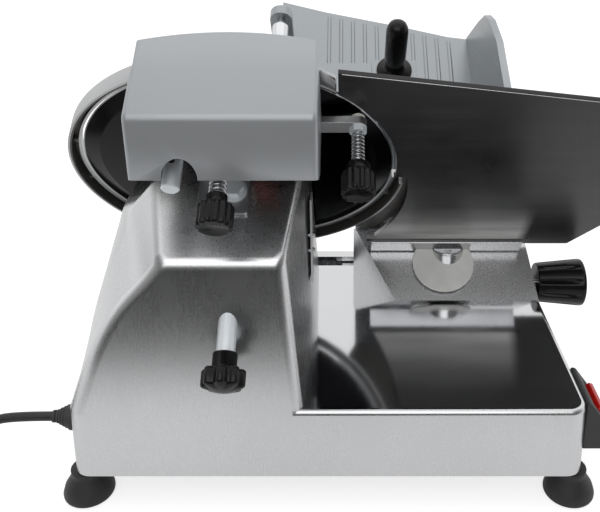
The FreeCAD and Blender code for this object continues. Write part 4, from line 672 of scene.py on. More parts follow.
def coil_point(turns):
    """The wound cord: it spirals in, climbs a layer in half a turn and spirals out again."""
    climb_end = COIL_LOWER_TURNS + COIL_CLIMB_TURNS
    inner = COIL_OUTER - COIL_PITCH * COIL_LOWER_TURNS
    if turns < COIL_LOWER_TURNS:
        radius, height = COIL_OUTER - COIL_PITCH * turns, 0.0
    elif turns < climb_end:
        share = (turns - COIL_LOWER_TURNS) / COIL_CLIMB_TURNS
        radius = inner - COIL_DIP * math.sin(math.pi * share) ** 2
        height = COIL_RISE * share * share * (3 - 2 * share)
    else:
        radius, height = inner + COIL_PITCH * (turns - climb_end), COIL_RISE
    turn = math.radians(-90 - 360 * turns)
    return COIL_CENTRE + Vector((radius * math.cos(turn), radius * math.sin(turn), height))


def make_power_cord(settings):
    """The cord's round run to the coil, its coil and its short tail to the plug."""
    curve = bpy.data.curves.new("power_cord", "CURVE")
    curve.dimensions = "3D"
    points = [Vector(point) for point in CORD_ROUTE]
    count = int(COIL_TURNS * COIL_POINTS_A_TURN)
    points += [coil_point(index / COIL_POINTS_A_TURN) for index in range(count + 1)]
    end = coil_point(COIL_TURNS)
    points += [end + Vector((0, run, 0)) for run in (15.0, 30.0, TAIL)]
    spline = curve.splines.new("NURBS")
    spline.points.add(len(points) - 1)
    place = floor_place()
    for knot, point in zip(spline.points, points):
        knot.co = (*(place @ point), 1.0)
    spline.use_endpoint_u = True
    spline.order_u = 3
    spline.resolution_u = 6
    curve.bevel_depth = settings.diameter / 2
    curve.bevel_resolution = 5
    curve.use_fill_caps = True
    cord = link_object("power_cord", curve)
    curve.materials.append(finish_named("cord_sheath"))
    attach(cord, "base")
    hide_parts("power_cord_run", "power_cord_coil")
    return cord


# How far along the plug's grip each loop lies, and its half width and half height
PLUG_LOOPS = ((11.0, 8.8, 7.8), (20.0, 12.3, 11.6), (30.0, 12.9, 11.6), (35.9, 13.3, 11.6))


def make_plug():
    """A grounded plug: a flared grip, two blades and a round pin."""
    start = coil_point(COIL_TURNS) + Vector((0, TAIL, 0))
    place = floor_at(*start) @ Matrix.Rotation(math.radians(-90), 4, "X")
    bm = bmesh.new()
    turn_profile(bm, [(3.9, 0.1), (4.7, 0.1), (5.1, 4), (4.4, 5), (4.4, 6), (5.8, 7), (6.0, 11.5), (3.9, 12)],
                 40, closed=True)
    rings = []
    for height, half_width, half_height in PLUG_LOOPS:
        ring = bmesh.ops.create_circle(bm, cap_ends=False, segments=32, radius=1.0)["verts"]
        for vert in ring:
            turn = math.atan2(vert.co.y, vert.co.x)
            squared = max(abs(math.cos(turn)), abs(math.sin(turn))) ** 0.75
            vert.co = Vector((half_width * vert.co.x / squared, half_height * vert.co.y / squared, height))
            vert.co.x = max(-half_width, min(half_width, vert.co.x))
            vert.co.y = max(-half_height, min(half_height, vert.co.y))
        rings.append(edges_among(bm, ring))
    for first, second in zip(rings, rings[1:]):
        bmesh.ops.bridge_loops(bm, edges=first + second)
    for ring in (rings[0], rings[-1]):
        cap = bmesh.ops.contextual_create(bm, geom=ring)["faces"]
        bmesh.ops.inset_region(bm, faces=cap, thickness=1.2, depth=0.0)
    plug = make_piece("plug_grip", bm, place, finish_named("dull_plastic"), "base", ["power_plug"])
    bm = bmesh.new()
    for side in (-6.35, 6.35):
        block(bm, (side - 0.75, -6.4, 35), (side + 0.75, 0, 52))
    turn_profile(bm, [(0, 35), (2.4, 35), (2.4, 51.6), (1.2, 53.8), (0, 54)], 24,
                 matrix=Matrix.Translation((0, 7, 0)))
    ease_edges(bm, 0.3, 60, 2)
    pins = make_piece("plug_pins", bm, place, finish_named("pin_brass"), "base")
    return plug, pins


def make_strain_relief():
    """The tapered relief with its flange and four ribs."""
    bm = bmesh.new()
    profile = [(0, -8.9), (5.8, -8.9), (5.8, 0.05), (10.8, 0.05), (10.8, 5.2), (10.0, 6.0), (9.2, 6.2)]
    for index in range(4):
        start = 7.0 + index * 2.6
        outer = 9.4 - index * 1.25
        profile += [(outer, start), (outer - 0.25, start + 1.5), (outer - 1.7, start + 1.6),
                    (outer - 1.8, start + 2.4)]
    profile += [(4.95, 17.6), (4.9, 19.9), (0, 19.95)]
    turn_profile(bm, profile, 48)
    ease_edges(bm, 0.25, 50, 2)
    place = floor_at(BASE_LEFT, GLAND_Y, GLAND_Z) @ Matrix.Rotation(math.radians(-90), 4, "Y")
    return make_piece("strain_relief", bm, place, finish_named("dull_plastic"), "base", ["cord_gland"])


class SLICER_OT_power_cord(bpy.types.Operator):
    """Makes the power cord with its coil, strain relief and plug"""

    bl_idname = "slicer.power_cord"
    bl_label = "Power Cord"

    def execute(self, context):
        settings = context.scene.slicer_cord
        cord = make_power_cord(settings)
        plug, pins = make_plug()
        make_strain_relief()
        return {"FINISHED"}


# Casting

# Height, how far in from the left the front crease and the side lie, where the side starts, and how
# far the crease is eased to each side
PEDESTAL_STATIONS = (
    (81.0, 0.0, 0.0, 40.0, 14.0), (97.0, 7.5, 0.3, 52.0, 13.0), (133.0, 24.0, 7.0, 60.0, 11.0),
    (165.0, 44.5, 17.5, 62.0, 9.0), (203.0, 79.0, 31.0, 62.0, 8.0), (225.0, 79.0, 40.0, 66.0, 8.0),
    (246.0, 79.0, 62.0, 77.0, 6.0), (262.0, 79.0, 76.0, 85.0, 5.0),
)
PEDESTAL_RIGHT, PEDESTAL_BACK = -15.0, 235.0
PEDESTAL_RIGHT_FRONT = -30.8
PEDESTAL_RIGHT_SLOPE = 0.1025
PEDESTAL_TALLEST = 420.0
PEDESTAL_LOOPS = 26
NECK_LOOPS = 5
HALVINGS = 18


def front_wall(height):
    """How far back the drafted front wall stands at a height."""
    return BASE_FRONT + (height - BASE_BOTTOM) * math.tan(FRONT_DRAFT)


def pedestal_station(height):
    """The pedestal's outline numbers at a height, eased between the stations."""
    table = PEDESTAL_STATIONS
    height = max(table[0][0], min(table[-1][0], height))
    index = max(i for i in range(len(table) - 1) if table[i][0] <= height)
    before, start, end = table[max(index - 1, 0)], table[index], table[index + 1]
    after = table[min(index + 2, len(table) - 1)]
    span = end[0] - start[0]
    share = (height - start[0]) / span
    square, cube = share * share, share ** 3
    values = []
    for column in range(1, 5):
        slope_in = (end[column] - before[column]) / (end[0] - before[0]) * span
        slope_out = (after[column] - start[column]) / (after[0] - start[0]) * span
        values.append((2 * cube - 3 * square + 1) * start[column] + (cube - 2 * square + share) * slope_in
                      + (3 * square - 2 * cube) * end[column] + (cube - square) * slope_out)
    return values


def ease_corner(before, corner, after, reach, steps=8):
    """Points of the round arc that replaces a corner, over a reach along both of its sides."""
    back, ahead = before - corner, after - corner
    start = corner + back * min(reach / back.length, 0.45)
    end = corner + ahead * min(reach / ahead.length, 0.45)
    weight = math.sin(back.angle(ahead) / 2)
    points = []
    for step in range(steps + 1):
        share = step / steps
        parts = ((1 - share) ** 2, 2 * weight * share * (1 - share), share ** 2)
        points.append((start * parts[0] + corner * parts[1] + end * parts[2]) / sum(parts))
    return points


def pedestal_ring(height, inset):
    """The pedestal's outline at a height, with its upright creases rounded."""
    crease, side, side_y, reach = pedestal_station(height)
    right_front = PEDESTAL_RIGHT_FRONT + (CREST - max(80.0, min(height, CREST))) * PEDESTAL_RIGHT_SLOPE
    front = front_wall(height) + inset
    left, right, back = BASE_LEFT + side + inset, PEDESTAL_RIGHT - inset, PEDESTAL_BACK - inset
    corners = ((BASE_LEFT + crease + 1.2 * inset, front, reach), (left, side_y, 18.0), (left, back, 4.0),
               (right, back, 4.0), (right, 88, 12.0), (right_front - inset, front, 9.0))
    spots = [Vector((x, y, height)) for x, y, _ in corners]
    points = []
    for index, (_, _, ease) in enumerate(corners):
        points += ease_corner(spots[index - 1], spots[index], spots[(index + 1) % len(spots)], ease)
    return points


def neck_crossing(column, level, inset):
    """The height at which one upright line of the pedestal reaches the neck's sloping plane."""
    low, high = DECK, PEDESTAL_TALLEST
    for _ in range(HALVINGS):
        middle = (low + high) / 2
        if knife_up(pedestal_ring(middle, inset)[column]) < level:
            low = middle
        else:
            high = middle
    return (low + high) / 2


def knife_up(point):
    """How far up the knife's plane a point of the floor drawing lies."""
    _, y, z = KNIFE_CENTRE
    return (point.z - z) * math.cos(KNIFE_LEAN) - (point.y - y) * math.sin(KNIFE_LEAN)


def pedestal_shape(inset, rim, low):
    """The tapering pedestal: loops up to its eased neck rim, then cut by its knife side."""
    level = NECK_TOP - inset
    columns = len(pedestal_ring(low, inset))
    crossings = [neck_crossing(column, level, inset) for column in range(columns)]
    edge_points = [pedestal_ring(crossings[column], inset)[column] for column in range(columns)]
    loops = []
    for index in range(PEDESTAL_LOOPS):
        share = index / (PEDESTAL_LOOPS - 1)
        heights = [low + share * (top - rim - low) for top in crossings]
        loops.append([pedestal_ring(heights[column], inset)[column] for column in range(columns)])
    plane_way = Vector((0, -math.sin(KNIFE_LEAN), math.cos(KNIFE_LEAN)))
    for index in range(1, NECK_LOOPS + 1):
        share = index / NECK_LOOPS
        loop = []
        for column in range(columns):
            corner = edge_points[column]
            run = edge_points[(column + 1) % columns] - edge_points[column - 1]
            inward = plane_way.cross(run).normalized()
            start = loops[PEDESTAL_LOOPS - 1][column]
            loop.append(ease_between(start, corner, corner - inward * rim, share))
        loops.append(loop)
    bm = bmesh.new()
    rings = []
    for loop in loops:
        verts = [bm.verts.new(point) for point in loop]
        rings.append([bm.edges.new(pair) for pair in zip(verts, verts[1:] + verts[:1])])
    for first, second in zip(rings, rings[1:]):
        bmesh.ops.bridge_loops(bm, edges=first + second)
    bmesh.ops.contextual_create(bm, geom=rings[0])
    bmesh.ops.contextual_create(bm, geom=rings[-1])
    bmesh.ops.recalc_face_normals(bm, faces=bm.faces)
    turn = floor_place().inverted() @ knife_place()
    cut_flat(bm, everything(bm), turn @ Vector((0, 0, NECK_FACE + inset)),
             (turn.to_3x3() @ Vector((0, 0, -1))).normalized())
    return bm


def ease_between(start, corner, end, share):
    """A point of the curve that leaves one place, turns at a corner and reaches another."""
    return start.lerp(corner, share).lerp(corner.lerp(end, share), share)


def casting_tub(settings, inset, top):
    """The base's box with its drafted front, or the hollow that lies a wall further in."""
    bm = bmesh.new()
    low = BASE_BOTTOM - 10 if inset else BASE_BOTTOM
    verts = block(bm, (BASE_LEFT + inset, BASE_FRONT + inset, low),
                  (BASE_RIGHT - inset, BASE_BACK - inset, top))
    for vert in verts:
        if vert.co.y < 0:
            vert.co.y = front_wall(vert.co.z) + inset
    uprights = [e for e in bm.edges if abs(e.verts[0].co.z - e.verts[1].co.z) > 1.0]
    round_edges(bm, uprights, max(settings.corner - inset, 3), 8)
    if not inset:
        rim = [e for e in bm.edges if min(v.co.z for v in e.verts) > top - 0.1]
        round_edges(bm, rim, settings.edge, 4)
    return bm


def ramp_shape(inset, low):
    """The raised block behind the deck, with its ramp, flared left flank and drafted right side."""
    bm = bmesh.new()
    sin, cos = math.sin(KNIFE_LEAN), math.cos(KNIFE_LEAN)
    top = BLOCK_TOP - inset
    back = BLOCK_BACK - inset
    foot = BLOCK_FOOT + inset / cos
    below = (DECK - low) * cos / sin
    ridge = BLOCK_FOOT + (top - DECK) * cos / sin + inset / sin
    points = [(0, foot - below, low), (0, foot, DECK), (0, min(ridge, back - 1), top), (0, back, top),
              (0, back, low)]
    if inset:
        points[1:3] = [(0, min(ridge, back - 2), top)]
    verts = push_outline(bm, points, (BASE_RIGHT - 1 - inset, 0, 0))
    for vert in verts:
        if vert.co.x > 100:
            vert.co.x -= max(vert.co.z - DECK, 0) * math.tan(BLOCK_DRAFT)
    flank = Vector((-42.0, 68.0, 0)).cross(Vector((0, 0, 1))).normalized()
    cut_flat(bm, everything(bm), (BLOCK_LEFT + inset, BLOCK_FOOT, 0), -flank)
    return bm


def round_bar(radius, low, high):
    """A round bar along its own z axis."""
    bm = bmesh.new()
    turn_profile(bm, [(0, low), (radius, low), (radius, high), (0, high)], 48)
    return bm


def make_casting(settings):
    """The hollow casting: tub, pedestal and raised block as one skin, with its slots and bores."""
    place = floor_place()
    casting = make_mesh_object("casting_shell", casting_tub(settings, 0, DECK), place)
    carve(casting, pedestal_shape(0, settings.crease, DECK - settings.edge + 0.05), place, "UNION")
    ramp = ramp_shape(0, DECK - 4)
    proud = [e for e in sharp_edges(ramp, 20) if max(v.co.z for v in e.verts) > DECK + 2]
    round_edges(ramp, proud, settings.edge, 4)
    carve(casting, ramp, place, "UNION")
    carve(casting, casting_tub(settings, CASTING_WALL, DECK - CASTING_WALL), place)
    carve(casting, pedestal_shape(CASTING_WALL, 2.0, 40.0), place)
    carve(casting, ramp_shape(CASTING_WALL, DECK - 8), place)
    slots = bmesh.new()
    for low, high in (CARRIAGE_SLOT, GAUGE_SLOT):
        block(slots, low, high)
    carve(casting, slots, place)
    for radius, low, high, spot in (
            (SPINDLE_SEAT, NECK_FACE - 2, NECK_FACE + 7, knife_place()),
            (TIE_ROD_BORE, 120, 175, knife_place()),
            (DIAL_SHAFT_BORE, BASE_RIGHT - 20, BASE_RIGHT + 5, sideways_at(0, DIAL_Y, DIAL_Z)),
            (GLAND_BORE, BASE_LEFT - 12, BASE_LEFT + 10, sideways_at(0, GLAND_Y, GLAND_Z))):
        carve(casting, round_bar(radius, low, high), spot)
    finish_piece(casting, finish_named("polished_casting"), "base", ["base_casting"], 30)
    return even_normals(casting)


class SLICER_OT_casting(bpy.types.Operator):
    """Makes the polished base casting"""

    bl_idname = "slicer.casting"
    bl_label = "Base Casting"

    def execute(self, context):
        make_casting(context.scene.slicer_casting)
        return {"FINISHED"}


class SLICER_OT_feet(bpy.types.Operator):
    """Makes the four rubber suction feet"""

    bl_idname = "slicer.feet"
    bl_label = "Suction Feet"

    def execute(self, context):
        bm = bmesh.new()
        profile = [(0, 7), (9, 5), (16, 0), (18.5, 0), (20, 1.5), (20, 4), (18, 10), (14, 16), (12, 20),
                   (12, 25.4), (4, 25.4), (4, 35.9), (0, 35.9)]
        for x in (-FOOT_X, FOOT_X):
            for y in (FOOT_FRONT_Y, FOOT_BACK_Y):
                turn_profile(bm, profile, 56, matrix=Matrix.Translation((x, y, 0)))
        ease_edges(bm, 0.9, 25, 3)
        make_piece("foot_cups", bm, floor_place(), finish_named("foot_rubber"), "base", ["suction_feet"])
        return {"FINISHED"}


# Knife, ring guard and cover

# Radii of the ring guard from inside outwards: its inner lip, the channel, and the rim with its outer edge
RING_INNER = 126.5
LIP_OUTER = 128.5
RIM_INNER = 132.5
RIM_CREST = 134.0
RING_OUTER = 135.5
# Where the ring starts, ends and carries its lugs, in degrees from the knife drawing's across
RING_START = 51.0
RING_END = 352.0
RING_LUGS = (222.0, 250.0, 282.0)
RING_CUT_ACROSS = 79.9
LUG_CIRCLE = 131.0
GUSSET_STEP = 25.0


def make_knife(settings):
    """The round knife: a flat ground back, a wide bevel and a fine edge."""
    bm = bmesh.new()
    ground = settings.radius - settings.bevel
    profile = [(20.0, 0), (settings.radius, 0), (settings.radius, 0.5), (ground, 3.0), (60.0, 3.0),
               (20.0, 3.0)]
    turn_profile(bm, profile, 180, closed=True)
    finish = turned_finish("ground_steel", tuple(settings.colour), 0.13, 1500.0,
                           (settings.radius - 1.0) * MILLIMETRE, (0.40, 0.40, 0.41))
    return make_piece("knife_blade", bm, knife_place(), finish, "knife", ["knife"], 10)


def make_heel_flange():
    """The curved flange between the ring and the gauge plate's heel, dark as painted shade that fills the gap
    there.
    """
    bm = bmesh.new()
    outline = [on_circle(RIM_CREST, -49.5 + 4.5 * step, -4) for step in range(10)]
    outline += [(138, -21, -4), (143, -40, -4), (141, -76, -4), (131, -96, -4), (112, -118, -4),
                (96, -116, -4)]
    push_outline(bm, outline, (0, 0, 2.5))
    ease_edges(bm, 0.5, 60, 2)
    return make_piece("ring_heel_flange", bm, knife_place(), finish_named("ring_painted_shade"), "base", ())


def make_ring():
    """The cast ring guard: a thin inner lip, a thick rim, and gussets in the channel between them."""
    bm = bmesh.new()
    profile = [(RING_INNER, 2), (LIP_OUTER, 2), (LIP_OUTER, -3), (RIM_INNER, -3), (RIM_INNER, 8),
               (RIM_CREST, 8), (RING_OUTER, 8), (RING_OUTER, -6), (RING_INNER, -6)]
    verts = [bm.verts.new((radius, 0, out)) for radius, out in profile]
    face = bm.faces.new(verts)
    start = Matrix.Rotation(math.radians(RING_START), 3, "Z")
    bmesh.ops.rotate(bm, verts=verts, cent=(0, 0, 0), matrix=start)
    bmesh.ops.spin(bm, geom=[face] + verts + list(face.edges), cent=(0, 0, 0), axis=(0, 0, 1),
                   angle=math.radians(RING_END - RING_START), steps=150, use_duplicate=False)
    end = [part for part in everything(bm) if near_gauge_end(part)]
    cut_flat(bm, end, (RING_CUT_ACROSS, 0, 0), (1, 0, 0))
    ease_edges(bm, 0.7, 50, 3)
    angle = RING_START + GUSSET_STEP / 2
    while angle < RING_END - 5:
        turn = Matrix.Rotation(math.radians(angle), 4, "Z")
        gusset = block(bm, (127.6, -1.5, -4), (133.2, 1.5, 1.5), turn)
        round_edges(bm, edges_among(bm, gusset), 0.8)
        angle += GUSSET_STEP
    for angle in RING_LUGS:
        turn_profile(bm, [(2.1, -3.5), (4, -3.5), (4, 9.95), (2.1, 9.95)], 24, closed=True,
                     matrix=Matrix.Translation(on_circle(LUG_CIRCLE, angle)))
    wing = push_outline(bm, [on_circle(134.5, 60, 3), on_circle(147.5, 62, 3), on_circle(142.5, 56, 3),
                             on_circle(128.5, 51.8, 3)], (0, 0, 3))
    round_edges(bm, edges_among(bm, wing), 0.8)
    ring = make_piece("knife_ring", bm, knife_place(), finish_named("ring_cast"), "base", ["ring_guard"])
    darken_channel(ring)
    return ring


def darken_channel(ring):
    """Paints shade into the channel between the ring's lip and rim with a dark finish, and leaves the gussets
    bright.
    """
    ring.data.materials.append(finish_named("ring_painted_shade"))
    back = knife_place().inverted()
    for face in ring.data.polygons:
        middle, way = back @ face.center, (back.to_3x3() @ face.normal).normalized()
        radius = middle.xy.length
        gusset = abs(way.xy.dot(middle.xy)) < 0.5 * radius and way.z < 0.5
        if LIP_OUTER - 0.1 < radius < RIM_CREST and middle.z > -3.2 and not gusset:
            face.material_index = 1


def near_gauge_end(part):
    """Whether a part of the ring lies at its end beside the gauge plate."""
    verts = [part] if isinstance(part, bmesh.types.BMVert) else part.verts
    return all(v.co.y > 70 and v.co.x > 40 for v in verts)


def on_circle(radius, angle, out=0.0):
    """A point of the knife drawing on a circle about the knife's axis."""
    turn = math.radians(angle)
    return (radius * math.cos(turn), radius * math.sin(turn), out)


def make_cover():
    """The plate over the knife's centre on the food side, with a raised hub."""
    bm = bmesh.new()
    profile = [(0, -9), (11.5, -9), (12.5, -8.4), (14, -6.5), (20, -6.5), (21, -6.1), (40, -6.1),
               (41, -6.5), (83.5, -6.5), (86.25, -4.8), (86.25, -0.8), (83.75, -0.8), (83.75, -4),
               (9, -4), (9, -0.5), (4.1, -0.5), (4.1, -5), (0, -5)]
    turn_profile(bm, profile, 120)
    ease_edges(bm, 0.35, 30, 2)
    finish = turned_finish("cover_turned", (0.56, 0.565, 0.57), 0.24, 1100.0)
    return make_piece("blade_cover", bm, knife_place(), finish, "base", ["knife_cover"], 25)


class SLICER_OT_knife(bpy.types.Operator):
    """Makes the knife, its ring guard and its cover"""

    bl_idname = "slicer.knife"
    bl_label = "Knife and Ring Guard"

    def execute(self, context):
        make_knife(context.scene.slicer_knife)
        make_heel_flange()
        make_ring()
        make_cover()
        return {"FINISHED"}


# Sharpener hood

HOOD_LEFT = -57.0
HOOD_RIGHT = 69.0
HOOD_TOP = 138.0
HOOD_FOLD_OUT = 50.0
HOOD_BACK_OUT = 9.5
HOOD_LIP_UP = 103.7
HOOD_SIDE_UP = 84.0
HOOD_SKIRT_OUT, HOOD_SKIRT_RISE = -20.9, 9.0
NOTCH_ACROSS = -22.5


def hood_back_edges(bm):
    """The open edges along the top of the hood's back."""
    return [e for e in open_edges(bm) if min(v.co.y for v in e.verts) > HOOD_TOP - 1.6
            and max(v.co.z for v in e.verts) < HOOD_BACK_OUT + 0.1]


def make_hood(settings):
    """The folded sheet hood: bent along its top and sides, open below and behind."""
    bm = bmesh.new()
    outline = [(HOOD_TOP, HOOD_BACK_OUT), (HOOD_TOP, HOOD_FOLD_OUT), (HOOD_LIP_UP, 76.8),
               (HOOD_SIDE_UP, 59.9), (HOOD_SIDE_UP, HOOD_BACK_OUT)]
    push_outline(bm, [(HOOD_LEFT, up, out) for up, out in outline], (HOOD_RIGHT - HOOD_LEFT, 0, 0))
    bm.normal_update()
    open_faces = []
    for face in bm.faces:
        middle = face.calc_center_median()
        if middle.y < 95 and abs(face.normal.x) < 0.5 or middle.z < 10:
            open_faces.append(face)
    bmesh.ops.delete(bm, geom=open_faces, context="FACES")
    fold = []
    for edge in bm.edges:
        middle = (edge.verts[0].co + edge.verts[1].co) / 2
        at_fold = abs(middle.y - HOOD_TOP) < 0.1 and abs(middle.z - HOOD_FOLD_OUT) < 0.1
        if len(edge.link_faces) == 2 and at_fold:
            fold.append(edge)
    round_edges(bm, fold, settings.fold * 0.42, 6)
    round_edges(bm, sharp_edges(bm, 60), settings.side_fold, 5)
    bmesh.ops.subdivide_edges(bm, edges=[e for e in hood_back_edges(bm) if e.calc_length() > 20], cuts=13)
    pushed = bmesh.ops.extrude_edge_only(bm, edges=hood_back_edges(bm))["geom"]
    middle = (HOOD_LEFT + HOOD_RIGHT) / 2
    for vert in verts_in(pushed):
        share = (vert.co.x - middle) / 68.0
        vert.co.z = HOOD_SKIRT_OUT + HOOD_SKIRT_RISE * share * share
    bmesh.ops.recalc_face_normals(bm, faces=bm.faces)
    highest = max(bm.faces, key=lambda f: f.calc_center_median().y)
    if highest.normal.y < 0:
        bmesh.ops.reverse_faces(bm, faces=bm.faces)
    hood = make_mesh_object("sharpener_shell", bm, knife_place())
    solid = hood.modifiers.new("wall", "SOLIDIFY")
    solid.thickness = settings.wall * MILLIMETRE
    solid.offset = -1
    solid.use_even_offset = True
    bake_modifiers(hood)
    carve(hood, round_bar(12.0, 36, 120), knife_at(NOTCH_ACROSS, HOOD_LIP_UP))
    rim = hood.modifiers.new("rim", "BEVEL")
    rim.width = 0.3 * MILLIMETRE
    rim.segments = 2
    rim.limit_method = "ANGLE"
    rim.angle_limit = math.radians(60)
    bake_modifiers(hood)
    return finish_piece(hood, finish_named("hood_satin"), "hood", ["sharpener_hood"], 32)


class SLICER_OT_hood(bpy.types.Operator):
    """Makes the sharpener's folded hood"""

    bl_idname = "slicer.hood"
    bl_label = "Sharpener Hood"

    def execute(self, context):
        make_hood(context.scene.slicer_hood)
        return {"FINISHED"}


# Knobs and springs


def make_grip(name, bm, place, body, node):
    """A black moulded grip, its bore closed at the bottom."""
    bmesh.ops.holes_fill(bm, edges=open_edges(bm))
    return make_piece(name, bm, place, finish_named("knob_plastic"), body, [node], 42)


def push_knob(settings, name, grip, collar, back, collar_length, bore, swallow, spot, body, node):
    """A push knob: smooth collar, fluted grip and a dished end."""
    top = back + 25.0
    start = back + collar_length
    profile = [(bore, back + 18.05), (bore, back + 12), (swallow, back + 12), (swallow, back),
               (collar - 0.5, back), (collar, back + 0.6), (collar, start), (grip - 0.6, start + 1.6),
               (grip, start + 2.6), (grip, start + 5), (grip, top - 5), (grip, top - 1.6),
               (grip - 0.7, top - 0.5), (grip - 2.2, top), (grip - 3.2, top), (grip - 3.9, top - 0.6),
               (0, top - 0.6)]
    bm = bmesh.new()
    verts = turn_profile(bm, profile, settings.flutes * 10)
    grip_verts = [v for v in verts if v.co.xy.length > grip - 1.2]
    flute(grip_verts, start + 1.5, top - 0.4, settings.flutes, settings.flute_depth, 1.6)
    return make_grip(name, bm, knife_at(*spot), body, node)


def make_star_knob(settings):
    """The star knob: a long collar under a lobed head with a low dome."""
    bm = bmesh.new()
    start, head = 160.0, 172.0
    end = head + 13
    profile = [(4.05, end - 3.5), (4.05, start), (8.5, start), (9, start + 0.6), (9, head - 1),
               (9.6, head - 0.2), (14.6, head), (15.6, head + 0.7), (16, head + 1.8), (16, end - 2.2),
               (15.4, end - 0.8), (14.2, end), (9, end + 1.6), (4, end + 2.8), (0, end + 3)]
    verts = turn_profile(bm, profile, settings.lobes * 14)
    lobed = [v for v in verts if v.co.xy.length > 13]
    flute(lobed, head - 0.1, end + 0.2, settings.lobes, 3.4, 1.4)
    return make_grip("star_grip", bm, knife_place(), "tie_knob", "star_knob")


def make_dial(settings):
    """The index dial: a tapered grip with finger grooves and a dished end."""
    bm = bmesh.new()
    root, face, length, groove = 19.0, 23.0, 45.0, 2.3
    profile = [(3.05, length - 12), (3.05, 0), (root - 0.8, 0), (root, 0.8)]
    for index in range(7):
        along = 2.0 + index * (length - 6.5) / 6
        profile.append((root + (face - root) * along / (length - 3), along))
    profile += [(face, length - 3), (face, length - 1.4), (face - 0.5, length - 0.4), (face - 1.4, length),
                (face - 4.5, length), (face - 5.5, length - 0.8), (face - 12, length - 0.8),
                (face - 12.4, length - 1.2), (0, length - 1.2)]
    for vert in turn_profile(bm, profile, settings.grooves * 16):
        if vert.co.xy.length > root - 0.5 and 0.9 < vert.co.z < length - 4.0:
            turn = math.atan2(vert.co.y, vert.co.x)
            wave = max(0.0, math.cos(settings.grooves * turn)) ** 3
            ease = min(1.0, (length - 4.0 - vert.co.z) / 5.0)
            factor = 1 - groove * wave * ease / vert.co.xy.length
            vert.co.x *= factor
            vert.co.y *= factor
    return make_grip("dial_grip", bm, sideways_at(200.4, DIAL_Y, DIAL_Z), "dial", "index_dial")


def make_lock_knob():
    """The tray's lobed lock knob with its stud."""
    bm = bmesh.new()
    turn_profile(bm, [(4, 2), (4, -14.5), (0, -14.5)], 40)
    profile = [(4, 2), (4.2, 0), (8.5, 0), (9, 0.5), (9, 5), (14, 6.4), (15, 7.4), (15, 17), (14.4, 18.4),
               (12, 20.6), (11, 21), (0, 21)]
    lobes = 8
    verts = turn_profile(bm, profile, lobes * 14)
    flute([v for v in verts if v.co.xy.length > 11.5], 6.0, 20.7, lobes, 2.4, 1.2)
    return make_piece("lock_grip", bm, sideways_at(63.5, 236, 150), finish_named("knob_plastic"),
                      "lock_knob", ["tray_lock_knob"], 42)


def make_handle():
    """The pusher's upright grip, with its flange and a rounded top."""
    bm = bmesh.new()
    profile = [(0, 0.05), (15.2, 0.05), (16, 0.8), (16, 1.6), (15.2, 2.4), (10.4, 3.4), (8.9, 5), (8.4, 8),
               (8.8, 12), (9.5, 17), (9.5, 52), (9.1, 56), (7.8, 59.4), (5, 61.7), (2, 62.4), (0, 62.5)]
    turn_profile(bm, profile, 56)
    spot = knife_at(130, -7, -104) @ Matrix.Rotation(math.radians(-90), 4, "X")
    return make_piece("pusher_grip", bm, spot, finish_named("knob_plastic"), "pusher", ["pusher_handle"],
                      42)


def make_spring(name, start, end, coil_radius, curls, spot, node):
    """A compression spring: the wire's circle spun up its helix, with both ends running straight."""
    wire_radius, sides, steps, end_run = 0.7, 12, 32, 1.4
    pitch = (end - start - 2 * wire_radius) / curls
    bm = bmesh.new()
    ring = bmesh.ops.create_circle(bm, cap_ends=False, segments=sides, radius=wire_radius,
                                   matrix=Matrix.Translation((coil_radius, 0, start + wire_radius))
                                   @ Matrix.Rotation(math.radians(90), 4, "X"))["verts"]
    first = edges_among(bm, ring)
    made = bmesh.ops.spin(bm, geom=ring + first, cent=(0, 0, 0), axis=(0, 0, 1), dvec=(0, 0, pitch / steps),
                          angle=2 * math.pi * curls, steps=steps * curls, use_duplicate=False)
    for loop, run in ((first, -end_run), (edges_in(made["geom_last"]), end_run)):
        pushed = bmesh.ops.extrude_edge_only(bm, edges=loop)["geom"]
        bmesh.ops.translate(bm, vec=(0, run, 0), verts=verts_in(pushed))
        bmesh.ops.contextual_create(bm, geom=edges_in(pushed))
    return make_piece(name, bm, knife_at(*spot), finish_named("spring_steel"), "base", [node], 60)


class SLICER_OT_knobs(bpy.types.Operator):
    """Makes the knobs, the dial and the pusher's handle"""

    bl_idname = "slicer.knobs"
    bl_label = "Knobs and Handle"

    def execute(self, context):
        settings = context.scene.slicer_knobs
        push_knob(settings, "grinding_grip", grip=12.5, collar=7.0, back=83.0, collar_length=7, bore=4.05,
                  swallow=6.4, spot=GRIND_SPOT, body="grind_plunger", node="grinding_knob")
        push_knob(settings, "honing_grip", grip=12.3, collar=8.8, back=47.0, collar_length=6, bore=2.55,
                  swallow=5.3, spot=HONE_SPOT, body="hone_plunger", node="honing_knob")
        make_star_knob(settings)
        make_dial(settings)
        make_lock_knob()
        make_handle()
        return {"FINISHED"}


class SLICER_OT_springs(bpy.types.Operator):
    """Makes the two sharpener springs"""

    bl_idname = "slicer.springs"
    bl_label = "Sharpener Springs"

    def execute(self, context):
        make_spring("grinding_coil", 46.3, 86.7, 5.3, 12, GRIND_SPOT, "grinding_spring")
        make_spring("honing_coil", 20.3, 55.7, 4.2, 11, HONE_SPOT, "honing_spring")
        return {"FINISHED"}


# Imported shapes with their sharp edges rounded: node, piece, width of the rounding and finish

